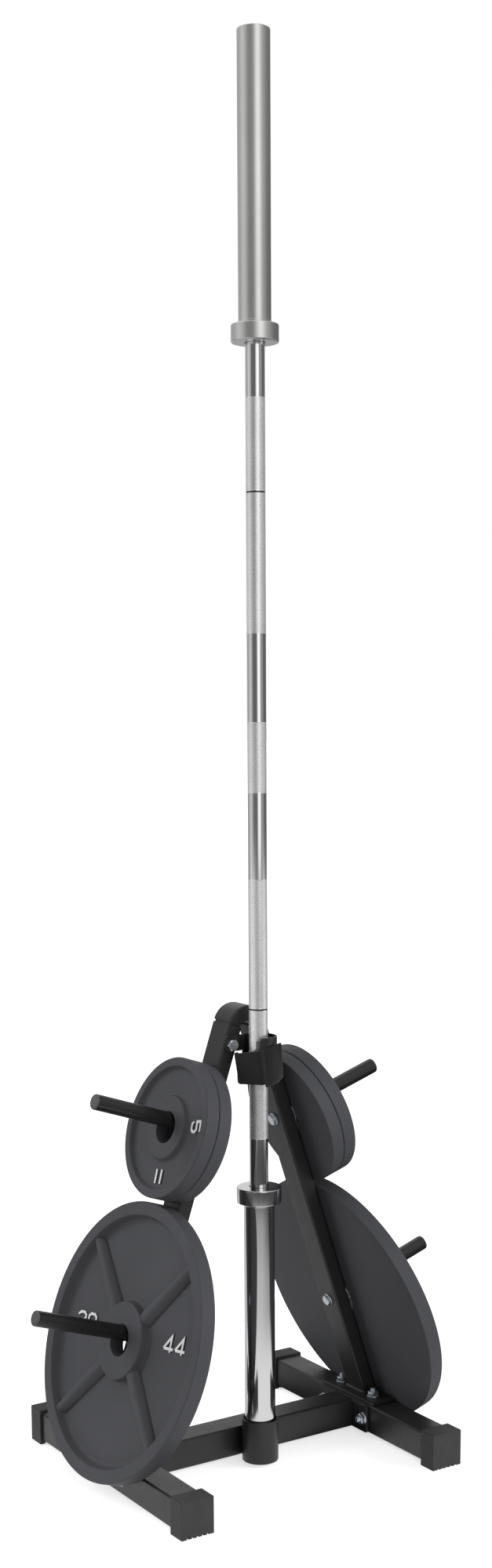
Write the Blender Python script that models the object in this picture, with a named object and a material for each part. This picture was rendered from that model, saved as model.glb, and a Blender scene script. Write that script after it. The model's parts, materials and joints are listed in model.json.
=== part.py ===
"""An A-frame rack that holds weight plates on four posts and stands a long bar in a cup.

Metres, +Z up. The beam runs along X, the feet along Y, and the bar stands on the -Y side.
"""
import math

import bmesh
import bpy
from mathutils import Matrix, Vector

# Fits
TOUCH = 0.0003              # gap between pieces that touch
HOLE_CLEARANCE = 0.0005     # radial room around a bolt

# Frame
TUBE = 0.050                # square tube of the feet and the beam
TUBE_WALL = 0.002
TUBE_CORNER = 0.004
FEET_SPREAD = 0.480         # between the middles of the two feet
FOOT_LENGTH = 0.495         # over the end caps
CAP_SIDE = 0.0035
CAP_SOLE = 0.006
CAP_TOP = 0.004
CAP_END = 0.005
CAP_LENGTH = 0.033
CAP_CORNER = 0.0025
SOLE_GROOVES = 5
GROOVE_PITCH = 0.0089
GROOVE_WIDTH = 0.0030
GROOVE_DEPTH = 0.003
PLATE_STEEL = 0.005         # base plates and beam flanges
BASE_BOLT_OFFSET = 0.045    # from the rack's middle plane, along the foot
BASE_PLATE_EDGE = 0.030     # from a bolt's middle to the plate's end
BOLT_STAGGER = 0.012        # a flange bolt passes this far outside the base bolt
FLANGE_EDGE_ROOM = 0.010
VENT_RADIUS = 0.006         # lets air out of the beam through each flange

# Uprights and the bend that joins them
UPRIGHT_WIDTH = 0.050
UPRIGHT_DEPTH = 0.025
UPRIGHT_WALL = 0.002
UPRIGHT_CORNER = 0.003
UPRIGHT_TOE = 0.0024        # from the foot's outer side in to the upright's outer face, on the base plate
APEX_HEIGHT = 0.762
BEND_RADIUS = 0.036         # outer side of the bend
BEND_WALL = 0.0043
BEND_STEPS = 9
SPIGOT_LENGTH = 0.022
SEAM_GAP = 0.0035
WELD_NUT_RADIUS = 0.008
WELD_NUT = 0.010

# Posts
POST_RADIUS = 0.0127
POST_LENGTH = 0.190         # from the upright's outer face to the post's end
POST_CHAMFER = 0.0015
RIM_RISE = 0.0171           # from the floor's line up the upright to the lower plate's rim
RIM_ROOM = 0.0078           # between the rims of the lower and the upper plates
POST_HOLE_DEPTH = 0.034
POST_WASHER_RADIUS = 0.025
POST_WASHER = 0.0022

# Fasteners: M10
BOLT_RADIUS = 0.005
HEX_ACROSS = 0.017
HEAD_HEIGHT = 0.0065
NUT_HEIGHT = 0.0082
FLANGE_RADIUS = 0.0105
FLANGE_EDGE = 0.0013
STUD_TIP = 0.006            # what stands out of a nut
DOME_RADIUS = 0.0105
DOME_HEIGHT = 0.004

# Weight plates: turned discs with a raised lip and hub on the outer face
BORE_RADIUS = 0.0258
EDGE_CHAMFER = 0.002
BIG = dict(radius=0.225, thickness=0.0265, lip=0.023, dish=0.0125, hub=0.062, hub_drop=0.001, slope=0.004)
SMALL = dict(radius=0.115, thickness=0.024, lip=0.0145, dish=0.0075, hub=0.051, hub_drop=0.001, slope=0.003)
RIB_WIDTH = 0.012
RIB_FOOT = 0.004            # how much wider each side of a rib is at its foot
RIB_DROP = 0.003            # rib top below the lip
RIB_TURN = math.radians(4)
PLATE_PAIR_GAP = 0.0005

# Bar
BAR_LENGTH = 2.200
GRIP_LENGTH = 1.310         # between the collars
SHAFT_RADIUS = 0.015
JOURNAL_RADIUS = 0.0127
SLEEVE_RADIUS = 0.025
SLEEVE_BORE = 0.0162
COLLAR_RADIUS = 0.0365
COLLAR_THICKNESS = 0.0265
BUSH_LENGTH = 0.030
BUSH_CLEARANCE = 0.0003
SLEEVE_END_RECESS = 0.011
END_BOLT_ROOM = 0.0007      # round the end bolt's flange, inside the sleeve
END_BOLT_FLANGE = 0.002
END_BOLT_DEPTH = 0.030

# Cup, hook and strap
CUP_ROOM = 0.002            # round the sleeve, inside the cup
CUP_WALL = 0.003
CUP_HEIGHT = 0.0715
CUP_FLOOR = 0.005
PAD_THICKNESS = 0.0134
HOOK_DROP = 0.045           # from the apex down to the hook's top
HOOK_HEIGHT = 0.060
HOOK_WALL = 0.003
HOOK_START = math.radians(-116)
HOOK_END = math.radians(118)
LINER = 0.0025
LINER_START = math.radians(-131)
LINER_END = math.radians(80)
LINER_INSET = 0.005
BRACKET_HEIGHT = 0.0265
BRACKET_THICKNESS = 0.0035
BRACKET_EDGE = 0.0117       # from the bolt's middle to the bracket's free end
BRACKET_RIGHT = -0.0100     # where the bracket ends in the ring
BRACKET_CORNER = 0.007
BRACKET_BOLT_DROP = 0.016   # from the hook's top to the bolt's middle
STRAP_WIDTH = 0.051
STRAP_ROOM = 0.001          # between the bracket and the strap below it
STRAP_TILT = math.tan(math.radians(8.5))    # it sits higher on the right
STRAP_THICKNESS = 0.0022
STRAP_LOOSENESS = 0.0008    # between the hook and the layer fixed round it
FLAP_START = math.radians(132)

SEGMENTS = {"big": 48, "small": 32, "round": 24, "post": 16, "bolt": 12}

# What follows from the driving dimensions
FOOT_X = FEET_SPREAD / 2
FOOT_BASE = CAP_SOLE
FOOT_TOP = FOOT_BASE + TUBE
BASE_TOP = FOOT_TOP + TOUCH + PLATE_STEEL
BASE_PLATE_LENGTH = 2 * (BASE_BOLT_OFFSET + BASE_PLATE_EDGE)
FLANGE_BOLT_OFFSET = BASE_BOLT_OFFSET + BOLT_STAGGER
FLANGE_LENGTH = 2 * (FLANGE_BOLT_OFFSET + FLANGE_EDGE_ROOM)
BEND_CENTRE = APEX_HEIGHT - BEND_RADIUS
# The upright's outer face leaves the base plate at its toe and is tangent to the bend
TOE = Vector((FOOT_X + TUBE / 2 - UPRIGHT_TOE, BEND_CENTRE - BASE_TOP))
LEAN = math.acos(BEND_RADIUS / TOE.length) - math.atan2(TOE.y, TOE.x)
UPRIGHT_ROOT = (BEND_RADIUS + BEND_CENTRE * math.sin(LEAN)) / math.cos(LEAN)
SEAM = UPRIGHT_ROOT * math.sin(LEAN) + BEND_CENTRE * math.cos(LEAN)
HANG = BORE_RADIUS - POST_RADIUS - TOUCH    # a plate hangs this far below its post's axis
POST_STATIONS = {"lower": RIM_RISE + BIG["radius"] + HANG}
POST_STATIONS["upper"] = POST_STATIONS["lower"] + BIG["radius"] + RIM_ROOM + SMALL["radius"]
CUP_RADIUS = SLEEVE_RADIUS + CUP_ROOM + CUP_WALL
CUP_TOP = FOOT_BASE + CUP_HEIGHT
PAD_TOP = FOOT_BASE + CUP_FLOOR + TOUCH + PAD_THICKNESS
BAR_Y = -(TUBE / 2 + TOUCH + CUP_RADIUS)
BAR_BASE = PAD_TOP + TOUCH
BAR_MIDDLE = BAR_BASE + BAR_LENGTH / 2
HOOK_TOP = APEX_HEIGHT - HOOK_DROP
STRAP_HIGH = HOOK_TOP - BRACKET_HEIGHT - STRAP_ROOM + STRAP_TILT * CUP_RADIUS
STRAP_LOW = STRAP_HIGH - STRAP_WIDTH
FIXED_LAYER = CUP_RADIUS + STRAP_LOOSENESS + STRAP_THICKNESS
SIDES = {"left": -1, "right": 1}


def clear_scene():
    for old in list(bpy.data.objects):
        bpy.data.objects.remove(old, do_unlink=True)


def material(name, colour, roughness, metallic=0.0):
    made = bpy.data.materials.new(name)
    made.use_nodes = True
    shader = made.node_tree.nodes["Principled BSDF"]
    shader.inputs["Base Color"].default_value = (*colour, 1)
    shader.inputs["Roughness"].default_value = roughness
    shader.inputs["Metallic"].default_value = metallic
    return made


def empty(name, location=(0, 0, 0), rotation=(0, 0, 0), parent=None):
    made = bpy.data.objects.new(name, None)
    made.location = location
    made.rotation_euler = rotation
    made.parent = parent
    bpy.context.collection.objects.link(made)
    return made


def shape(name, bm, finish):
    """Turns a bmesh into a mesh with outward faces and smooth round sides."""
    bmesh.ops.recalc_face_normals(bm, faces=bm.faces)
    mesh = bpy.data.meshes.new(name)
    bm.to_mesh(mesh)
    bm.free()
    mesh.shade_smooth()
    mesh.set_sharp_from_angle(angle=math.radians(32))
    mesh.materials.append(finish)
    return mesh


def put(name, mesh, place):
    """One object of a mesh that may be shared, at a place in the world given as a matrix."""
    made = bpy.data.objects.new(name, mesh)
    made.matrix_world = place
    bpy.context.collection.objects.link(made)
    return made


def piece(name, bm, finish, location=(0, 0, 0), rotation=(0, 0, 0), parent=None):
    made = bpy.data.objects.new(name, shape(name, bm, finish))
    made.location = location
    made.rotation_euler = rotation
    made.parent = parent
    bpy.context.collection.objects.link(made)
    return made


def rounded(width, height, corner, steps=2, middle=(0, 0)):
    """Points of a rectangle with round corners, anticlockwise."""
    points = []
    for quarter, (sx, sy) in enumerate(((1, 1), (-1, 1), (-1, -1), (1, -1))):
        for step in range(steps + 1):
            turn = math.radians(90 * (quarter + step / steps))
            points.append((middle[0] + sx * (width / 2 - corner) + corner * math.cos(turn),
                           middle[1] + sy * (height / 2 - corner) + corner * math.sin(turn)))
    return points


def circle(radius, height, segments, hexagon=False):
    """Points of a circle, or of a hexagon of that corner radius, with as many points."""
    points = []
    for step in range(segments):
        turn = math.tau * step / segments
        reach = radius
        if hexagon:
            reach = radius * math.cos(math.pi / 6) / math.cos((turn % (math.pi / 3)) - math.pi / 6)
        points.append(Vector((reach * math.cos(turn), reach * math.sin(turn), height)))
    return points


def skin(sections, closed=False):
    """Extrudes a loop of points through the others, and joins the last to the first or fills both ends."""
    bm = bmesh.new()
    loop = [bm.verts.new(point) for point in sections[0]]
    first = rim = [bm.edges.new((loop[i - 1], loop[i])) for i in range(len(loop))]
    for points in sections[1:] + sections[:1] * closed:
        grown = bmesh.ops.extrude_edge_only(bm, edges=rim)["geom"]
        fresh = {item for item in grown if isinstance(item, bmesh.types.BMVert)}
        loop = [next(e.other_vert(v) for e in v.link_edges if e.other_vert(v) in fresh) for v in loop]
        rim = [bm.edges.get((loop[i - 1], loop[i])) for i in range(len(loop))]
        for vert, point in zip(loop, points):
            vert.co = point
    if closed:
        bmesh.ops.remove_doubles(bm, verts=bm.verts, dist=1e-6)
    else:
        bmesh.ops.edgeloop_fill(bm, edges=first)
        bmesh.ops.edgeloop_fill(bm, edges=rim)
    return bm


def turned(profile, segments, closed=False):
    """A turned solid from (radius, height) pairs; a third value True makes that ring a hexagon."""
    return skin([circle(*ring[:2], segments, *ring[2:]) for ring in profile], closed)


def tube(width, height, wall, corner, length):
    """A straight rectangular tube along +Z, open at both ends."""
    outer = rounded(width, height, corner)
    inner = rounded(width - 2 * wall, height - 2 * wall, corner - wall / 2)
    sections = [[Vector((x, y, z)) for x, y in outline]
                for outline, z in ((inner, 0), (outer, 0), (outer, length), (inner, length))]
    return skin(sections, closed=True)


def sheet_metal(width, height, corner, thickness):
    """A flat plate with round corners, from z = 0 up."""
    outline = rounded(width, height, corner)
    return skin([[Vector((x, y, z)) for x, y in outline] for z in (0, thickness)])


def band(path, thickness, low, high):
    """A strip of even thickness that stands on edge along a path of (x, y) points."""
    inner, outer = [], []
    for i, point in enumerate(path):
        along = path[min(i + 1, len(path) - 1)] - path[max(i - 1, 0)]
        side = Vector((along.y, -along.x, 0)).normalized() * thickness
        inner.append(point)
        outer.append(point + side)
    outline = inner + outer[::-1]
    return skin([[Vector((p.x, p.y, z)) for p in outline] for z in (low, high)])


def copies(bm, places):
    """The same solid at several places, in one bmesh."""
    mesh = bpy.data.meshes.new("copy_source")
    bm.to_mesh(mesh)
    bm.free()
    together = bmesh.new()
    for place in places:
        placed = mesh.copy()
        placed.transform(place)
        together.from_mesh(placed)
        bpy.data.meshes.remove(placed)
    bpy.data.meshes.remove(mesh)
    return together


def drill(target, name, holes):
    """Cuts round holes: each is a radius, a length, and a matrix in the world whose +Z is the hole's axis."""
    together = bmesh.new()
    for radius, length, place in holes:
        bmesh.ops.create_cone(together, cap_ends=True, segments=SEGMENTS["bolt"],
                              radius1=radius, radius2=radius, depth=length, matrix=place)
    cutter = piece(name, together, target.data.materials[0])
    combine(target, cutter, "DIFFERENCE")


def combine(target, other, operation):
    other.hide_render = True
    other.display_type = "WIRE"
    boolean = target.modifiers.new(operation.lower(), "BOOLEAN")
    boolean.operation = operation
    boolean.solver = "EXACT"
    boolean.object = other


def along(axis, *centre):
    """A matrix that takes +Z to the given axis and puts the origin at the centre."""
    turn = Vector((0, 0, 1)).rotation_difference(Vector(axis)).to_matrix().to_4x4()
    return Matrix.Translation(Vector(centre)) @ turn


def hex_bolt(length, flange=FLANGE_RADIUS):
    """A hexagon bolt with a washer face of that radius, head above z = 0 and shank below it."""
    corner = HEX_ACROSS / 2 / math.cos(math.pi / 6)
    return turned([(BOLT_RADIUS * 0.85, -length), (BOLT_RADIUS, 0.001 - length), (BOLT_RADIUS, 0),
                   (flange, 0), (flange, FLANGE_EDGE), (corner, FLANGE_EDGE + 0.001, True),
                   (corner, HEAD_HEIGHT - 0.001, True), (HEX_ACROSS * 0.46, HEAD_HEIGHT)], SEGMENTS["bolt"])


def nut():
    """A flanged hexagon nut that stands on z = 0."""
    corner = HEX_ACROSS / 2 / math.cos(math.pi / 6)
    bore = BOLT_RADIUS + TOUCH
    return turned([(bore, 0), (FLANGE_RADIUS, 0), (FLANGE_RADIUS, FLANGE_EDGE),
                   (corner, FLANGE_EDGE + 0.001, True), (corner, NUT_HEIGHT - 0.0008, True),
                   (HEX_ACROSS * 0.47, NUT_HEIGHT), (bore, NUT_HEIGHT)],
                  SEGMENTS["bolt"], closed=True)


def ring(bore, radius, thickness, segments):
    """A plain washer or ring that stands on z = 0."""
    return turned([(bore, 0), (radius, 0), (radius, thickness), (bore, thickness)], segments, closed=True)


def make_feet():
    steel_length = FOOT_LENGTH - 2 * CAP_END
    for side, sign in SIDES.items():
        foot = piece(f"foot_tube_{side}", tube(TUBE, TUBE, TUBE_WALL, TUBE_CORNER, steel_length), BLACK_STEEL,
                     (sign * FOOT_X, -steel_length / 2, FOOT_BASE + TUBE / 2), (math.radians(-90), 0, 0))
        hole = BOLT_RADIUS + HOLE_CLEARANCE
        middle = FOOT_BASE + TUBE / 2
        drill(foot, f"foot_holes_{side}",
              [(hole, 3 * TUBE, along((0, 0, 1), sign * FOOT_X, way * BASE_BOLT_OFFSET, FOOT_BASE))
               for way in (-1, 1)]
              + [(hole, 2 * TUBE, along((1, 0, 0), sign * FOOT_X, way * FLANGE_BOLT_OFFSET, middle))
                 for way in (-1, 1)])


def cap_outline():
    """The cap's end view, x across and y up, with grooves cut up into its sole."""
    width = TUBE + 2 * (CAP_SIDE + TOUCH)
    height = FOOT_TOP + TOUCH + CAP_TOP
    corners = rounded(width, height, CAP_CORNER, middle=(0, height / 2))
    top = [point for point in corners if point[1] > height / 2]
    bottom = [(-width / 2, 0)]
    for groove in range(SOLE_GROOVES):
        middle = (groove - (SOLE_GROOVES - 1) / 2) * GROOVE_PITCH
        left, right = middle - GROOVE_WIDTH / 2, middle + GROOVE_WIDTH / 2
        bottom += [(left, 0), (left, GROOVE_DEPTH), (right, GROOVE_DEPTH), (right, 0)]
    return top + bottom + [(width / 2, 0)]


def make_caps():
    pocket_size = TUBE + 2 * TOUCH
    for side, sign in SIDES.items():
        for end, way in (("front", -1), ("rear", 1)):
            turn = (math.radians(90), 0, 0 if way < 0 else math.pi)
            place = (sign * FOOT_X, way * (FOOT_LENGTH / 2 - CAP_LENGTH), 0)
            outline = cap_outline()
            cap = piece(f"foot_cap_{end}_{side}",
                        skin([[Vector((x, y, z)) for x, y in outline] for z in (0, CAP_LENGTH)]),
                        CAP_RUBBER, place, turn)
            hollow = rounded(pocket_size, pocket_size, TUBE_CORNER, middle=(0, FOOT_BASE + TUBE / 2))
            depths = (-CAP_LENGTH, CAP_LENGTH - CAP_END + TOUCH)
            pocket = piece(f"cap_pocket_{end}_{side}",
                           skin([[Vector((x, y, z)) for x, y in hollow] for z in depths]),
                           CAP_RUBBER, place, turn)
            combine(cap, pocket, "DIFFERENCE")


def make_beam():
    """The cross beam with a flange welded on each end of it."""
    inner_side = FOOT_X - TUBE / 2 - TOUCH
    weld = PLATE_STEEL / 2
    length = 2 * (inner_side - weld)
    middle = FOOT_BASE + TUBE / 2
    beam = piece("cross_beam", tube(TUBE - 0.0002, TUBE - 0.0002, TUBE_WALL, TUBE_CORNER, length),
                 BLACK_STEEL, (-length / 2, 0, middle), (0, math.radians(90), 0))
    for side, sign in SIDES.items():
        flange = piece(f"flange_{side}", sheet_metal(TUBE - 0.002, FLANGE_LENGTH, 0.004, PLATE_STEEL),
                       BLACK_STEEL, (sign * inner_side, 0, middle), (0, math.radians(-90 * sign), 0))
        combine(beam, flange, "UNION")
    hole = BOLT_RADIUS + HOLE_CLEARANCE
    drill(beam, "flange_holes",
          [(hole, TUBE, along((1, 0, 0), sign * inner_side, way * FLANGE_BOLT_OFFSET, middle))
           for sign in SIDES.values() for way in (-1, 1)]
          + [(VENT_RADIUS, TUBE, along((1, 0, 0), sign * inner_side, 0, middle)) for sign in SIDES.values()])


def make_frame_bolts():
    """Bolts up through each foot and base plate, and through each foot and beam flange."""
    rise = BASE_TOP + TOUCH - FOOT_BASE
    tip = rise + NUT_HEIGHT + STUD_TIP
    carriage = shape("carriage_bolt", turned([(DOME_RADIUS * 0.45, -DOME_HEIGHT), (DOME_RADIUS, -TOUCH),
                                              (BOLT_RADIUS, 0), (BOLT_RADIUS, tip - 0.001),
                                              (BOLT_RADIUS * 0.85, tip)], SEGMENTS["bolt"]), ZINC)
    flange_nut = shape("flange_nut", nut(), ZINC)
    middle = FOOT_BASE + TUBE / 2
    head = FOOT_X + TUBE / 2 + TOUCH
    seat = FOOT_X - TUBE / 2 - 2 * TOUCH - PLATE_STEEL
    flange_bolt = shape("flange_bolt", hex_bolt(head - seat + NUT_HEIGHT + STUD_TIP), ZINC)
    for side, sign in SIDES.items():
        for end, way in (("front", -1), ("rear", 1)):
            upright_bolt = Matrix.Translation((sign * FOOT_X, way * BASE_BOLT_OFFSET, FOOT_BASE))
            put(f"base_bolt_{end}_{side}", carriage, upright_bolt)
            put(f"base_nut_{end}_{side}", flange_nut, upright_bolt @ Matrix.Translation((0, 0, rise)))
            y = way * FLANGE_BOLT_OFFSET
            put(f"flange_bolt_{end}_{side}", flange_bolt, along((sign, 0, 0), sign * head, y, middle))
            put(f"flange_nut_{end}_{side}", flange_nut, along((-sign, 0, 0), sign * seat, y, middle))


def lean_frame(side, sign):
    """Local x points out of the upright's outer face, local z runs up the upright."""
    return empty(f"lean_{side}", (sign * UPRIGHT_ROOT, 0, 0), (0, -LEAN, 0 if sign > 0 else math.pi))


def make_uprights(lean):
    """Each upright is a tube welded to a base plate, with a nut welded inside the left one for the hook."""
    width, depth = UPRIGHT_WIDTH, UPRIGHT_DEPTH
    outer = rounded(depth, width, UPRIGHT_CORNER, middle=(-depth / 2, 0))
    inner = rounded(depth - 2 * UPRIGHT_WALL, width - 2 * UPRIGHT_WALL, UPRIGHT_CORNER - UPRIGHT_WALL / 2,
                    middle=(-depth / 2, 0))
    foot = BASE_TOP - PLATE_STEEL / 2

    def cut_foot(outline):
        return [Vector((x, y, (foot - x * math.sin(LEAN)) / math.cos(LEAN))) for x, y in outline]

    def cut_top(outline):
        return [Vector((x, y, SEAM - SEAM_GAP)) for x, y in outline]

    hole = BOLT_RADIUS + HOLE_CLEARANCE
    for side, sign in SIDES.items():
        upright = piece(f"upright_{side}",
                        skin([cut_foot(inner), cut_foot(outer), cut_top(outer), cut_top(inner)], True),
                        BLACK_STEEL, parent=lean[side])
        base = piece(f"base_plate_{side}", sheet_metal(TUBE, BASE_PLATE_LENGTH, 0.004, PLATE_STEEL),
                     BLACK_STEEL, (sign * FOOT_X, 0, FOOT_TOP + TOUCH))
        combine(upright, base, "UNION")
        holes = [(hole, 2 * depth, lean[side].matrix_world @ along((1, 0, 0), -depth / 2, 0, station))
                 for station in POST_STATIONS.values()]
        holes += [(hole, 0.1, along((0, 0, 1), sign * FOOT_X, way * BASE_BOLT_OFFSET, FOOT_TOP))
                  for way in (-1, 1)]
        if side == "left":
            inside = UPRIGHT_WALL / 2 - width / 2
            weld_nut = turned([(WELD_NUT_RADIUS, 0), (WELD_NUT_RADIUS, WELD_NUT)], SEGMENTS["bolt"])
            welded = piece("weld_nut", weld_nut, BLACK_STEEL, hook_bolt_place(inside),
                           (math.radians(-90), 0, 0))
            combine(upright, welded, "UNION")
            holes.append((hole, 2 * WELD_NUT + 0.01, along((0, 1, 0), *hook_bolt_place(-width / 2))))
        drill(upright, f"upright_holes_{side}", holes)


def make_bend():
    """The bent tube over the apex, with a narrower spigot down into each upright."""
    depth, width = UPRIGHT_DEPTH, UPRIGHT_WIDTH
    fit = UPRIGHT_WALL + TOUCH
    wide = rounded(depth, width, UPRIGHT_CORNER)
    narrow = rounded(depth - 2 * fit, width - 2 * fit, UPRIGHT_CORNER / 2)
    hollow = rounded(depth - 2 * BEND_WALL, width - 2 * BEND_WALL, UPRIGHT_CORNER / 3)
    middle = Vector((0, 0, BEND_CENTRE))
    mean = BEND_RADIUS - depth / 2

    def section(outline, turn, slide):
        out = Vector((math.cos(turn), 0, math.sin(turn)))
        down = Vector((math.sin(turn), 0, -math.cos(turn))) * slide
        return [middle + out * (mean + a) + down + Vector((0, b, 0)) for a, b in outline]

    turns = [LEAN + (math.pi - 2 * LEAN) * step / BEND_STEPS for step in range(BEND_STEPS + 1)]
    outside = ([section(narrow, turns[0], SPIGOT_LENGTH), section(narrow, turns[0], 0)]
               + [section(wide, turn, 0) for turn in turns]
               + [section(narrow, turns[-1], 0), section(narrow, turns[-1], -SPIGOT_LENGTH)])
    inside = ([section(hollow, turns[0], SPIGOT_LENGTH)] + [section(hollow, turn, 0) for turn in turns]
              + [section(hollow, turns[-1], -SPIGOT_LENGTH)])
    piece("apex_bend", skin(outside + inside[::-1], closed=True), BLACK_STEEL)


def make_posts(lean):
    """A post on a wide washer outside each upright, held by a bolt from the upright's inner face."""
    start = 2 * TOUCH + POST_WASHER
    bore = BOLT_RADIUS + TOUCH
    profile = [(bore, start + POST_HOLE_DEPTH), (bore, start), (POST_RADIUS, start),
               (POST_RADIUS, POST_LENGTH - POST_CHAMFER), (POST_RADIUS - POST_CHAMFER, POST_LENGTH)]
    post = shape("post", turned(profile, SEGMENTS["post"]), BLACK_STEEL)
    hole = BOLT_RADIUS + HOLE_CLEARANCE
    wide_washer = shape("post_washer", ring(hole, POST_WASHER_RADIUS, POST_WASHER, SEGMENTS["post"]), ZINC)
    reach = UPRIGHT_DEPTH + TOUCH + start + POST_HOLE_DEPTH - 0.004
    bolt = shape("post_bolt", hex_bolt(reach), ZINC)
    for side in SIDES:
        for level, station in POST_STATIONS.items():
            axis = lean[side].matrix_world @ along((1, 0, 0), 0, 0, station)
            put(f"post_{level}_{side}", post, axis)
            put(f"post_washer_{level}_{side}", wide_washer, axis @ Matrix.Translation((0, 0, TOUCH)))
            put(f"post_bolt_{level}_{side}", bolt, axis @ along((0, 0, -1), 0, 0, -UPRIGHT_DEPTH - TOUCH))


def disc_profile(size):
    """A weight plate's section from its flat back to the lip, dish and hub of its face."""
    radius, thick, chamfer = size["radius"], size["thickness"], EDGE_CHAMFER
    dish_edge, dish_floor = radius - size["lip"], thick - size["dish"]
    hub_top = thick - size["hub_drop"]
    return [(BORE_RADIUS, chamfer / 2), (BORE_RADIUS + chamfer / 2, 0), (radius - chamfer, 0),
            (radius, chamfer), (radius, thick - chamfer), (radius - chamfer, thick), (dish_edge, thick),
            (dish_edge - size["slope"], dish_floor), (size["hub"] + size["slope"], dish_floor),
            (size["hub"], hub_top), (BORE_RADIUS + chamfer / 2, hub_top),
            (BORE_RADIUS, hub_top - chamfer / 2)]


def rib_solids(size):
    """Four tapered ribs from the hub to the lip, sunk a little into all that they join."""
    start, end = size["hub"] - 0.006, size["radius"] - size["lip"] + 0.008
    floor, top = size["thickness"] - size["dish"] - 0.003, size["thickness"] - RIB_DROP
    half = RIB_WIDTH / 2
    outline = [(half + RIB_FOOT, floor), (half, top), (-half, top), (-half - RIB_FOOT, floor)]
    rib = skin([[Vector((reach, y, z)) for y, z in outline] for reach in (start, end)])
    turns = [RIB_TURN + math.radians(45 + 90 * count) for count in range(4)]
    return copies(rib, [Matrix.Rotation(turn, 4, "Z") for turn in turns])


def make_weight_plates(lean):
    """Each plate hangs from the top of its bore on a post, its back against the post's washer."""
    first = POST_WASHER + 2 * TOUCH
    stack = [("plate_20", "lower", BIG, first, "big"),
             ("plate_5_inner", "upper", SMALL, first, "small"),
             ("plate_5_outer", "upper", SMALL, first + SMALL["thickness"] + PLATE_PAIR_GAP, "small")]
    upright_turn = (0, math.radians(90), 0)
    for side in SIDES:
        for name, level, size, back, detail in stack:
            hub = empty(f"{name}_{side}_axis", (back, 0, POST_STATIONS[level] - HANG), parent=lean[side])
            disc = piece(f"{name}_{side}", turned(disc_profile(size), SEGMENTS[detail], True), CAST_IRON,
                         rotation=upright_turn, parent=hub)
            if size is BIG:
                ribs = piece(f"{name}_{side}_ribs", rib_solids(size), CAST_IRON,
                             rotation=upright_turn, parent=hub)
                combine(disc, ribs, "UNION")


def make_cup():
    segments = SEGMENTS["round"]
    bore = CUP_RADIUS - CUP_WALL
    floor = FOOT_BASE + CUP_FLOOR
    profile = [(bore, floor), (bore, CUP_TOP), (CUP_RADIUS, CUP_TOP), (CUP_RADIUS, FOOT_BASE)]
    piece("bar_cup", turned(profile, segments), BLACK_STEEL, (0, BAR_Y, 0))
    piece("cup_pad", turned([(bore - TOUCH, floor + TOUCH), (bore - TOUCH, PAD_TOP)], segments),
          CAP_RUBBER, (0, BAR_Y, 0))


def arc(radius, start, end, steps):
    """Points on a circle about the bar, in plan."""
    turns = [start + (end - start) * step / steps for step in range(steps + 1)]
    return [Vector((radius * math.cos(turn), BAR_Y + radius * math.sin(turn), 0)) for turn in turns]


def hook_bolt_place(reach):
    """The hook's bolt runs along Y through the middle of the left upright."""
    height = HOOK_TOP - BRACKET_BOLT_DROP
    middle = UPRIGHT_ROOT - height * math.tan(LEAN) - UPRIGHT_DEPTH / 2 / math.cos(LEAN)
    return (-middle, reach, height)


def make_hook():
    """A part ring on a flat bracket, bolted through the left upright, and its rubber liner."""
    front = UPRIGHT_WIDTH / 2 + TOUCH
    low = HOOK_TOP - HOOK_HEIGHT
    curve = arc(CUP_RADIUS, HOOK_END, HOOK_START, 26)
    hook = piece("bar_hook", band(curve, HOOK_WALL, low, HOOK_TOP), BLACK_STEEL)
    left = hook_bolt_place(0)[0] - BRACKET_EDGE
    outline = rounded(BRACKET_RIGHT - left, BRACKET_HEIGHT, BRACKET_CORNER,
                      middle=((left + BRACKET_RIGHT) / 2, HOOK_TOP - BRACKET_HEIGHT / 2))
    faces = (0, BRACKET_THICKNESS)
    flat = piece("bracket_flat", skin([[Vector((x, -front - y, z)) for x, z in outline] for y in faces]),
                 BLACK_STEEL)
    combine(hook, flat, "UNION")
    hole = BOLT_RADIUS + HOLE_CLEARANCE
    drill(hook, "bracket_hole", [(hole, 0.02, along((0, 1, 0), *hook_bolt_place(-front)))])
    strip = arc(CUP_RADIUS - HOOK_WALL - TOUCH, LINER_END, LINER_START, 22)
    piece("hook_liner", band(strip, LINER, low + LINER_INSET, HOOK_TOP - LINER_INSET), LINER_RUBBER)
    seat = front + BRACKET_THICKNESS + TOUCH
    bolt = shape("hook_bolt", hex_bolt(seat - UPRIGHT_WIDTH / 2 + WELD_NUT + 0.004, HEX_ACROSS / 2), ZINC)
    put("hook_bolt", bolt, along((0, -1, 0), *hook_bolt_place(-seat)))


def cloth_band(name, path, parent=None):
    """A piece of the strap, sheared so that it rises to the right."""
    start = parent.location.x if parent else 0
    bm = band(path, STRAP_THICKNESS, STRAP_LOW, STRAP_HIGH)
    for vert in bm.verts:
        vert.co.z += STRAP_TILT * (vert.co.x + start)
    piece(name, bm, STRAP_CLOTH, parent=parent)


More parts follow.
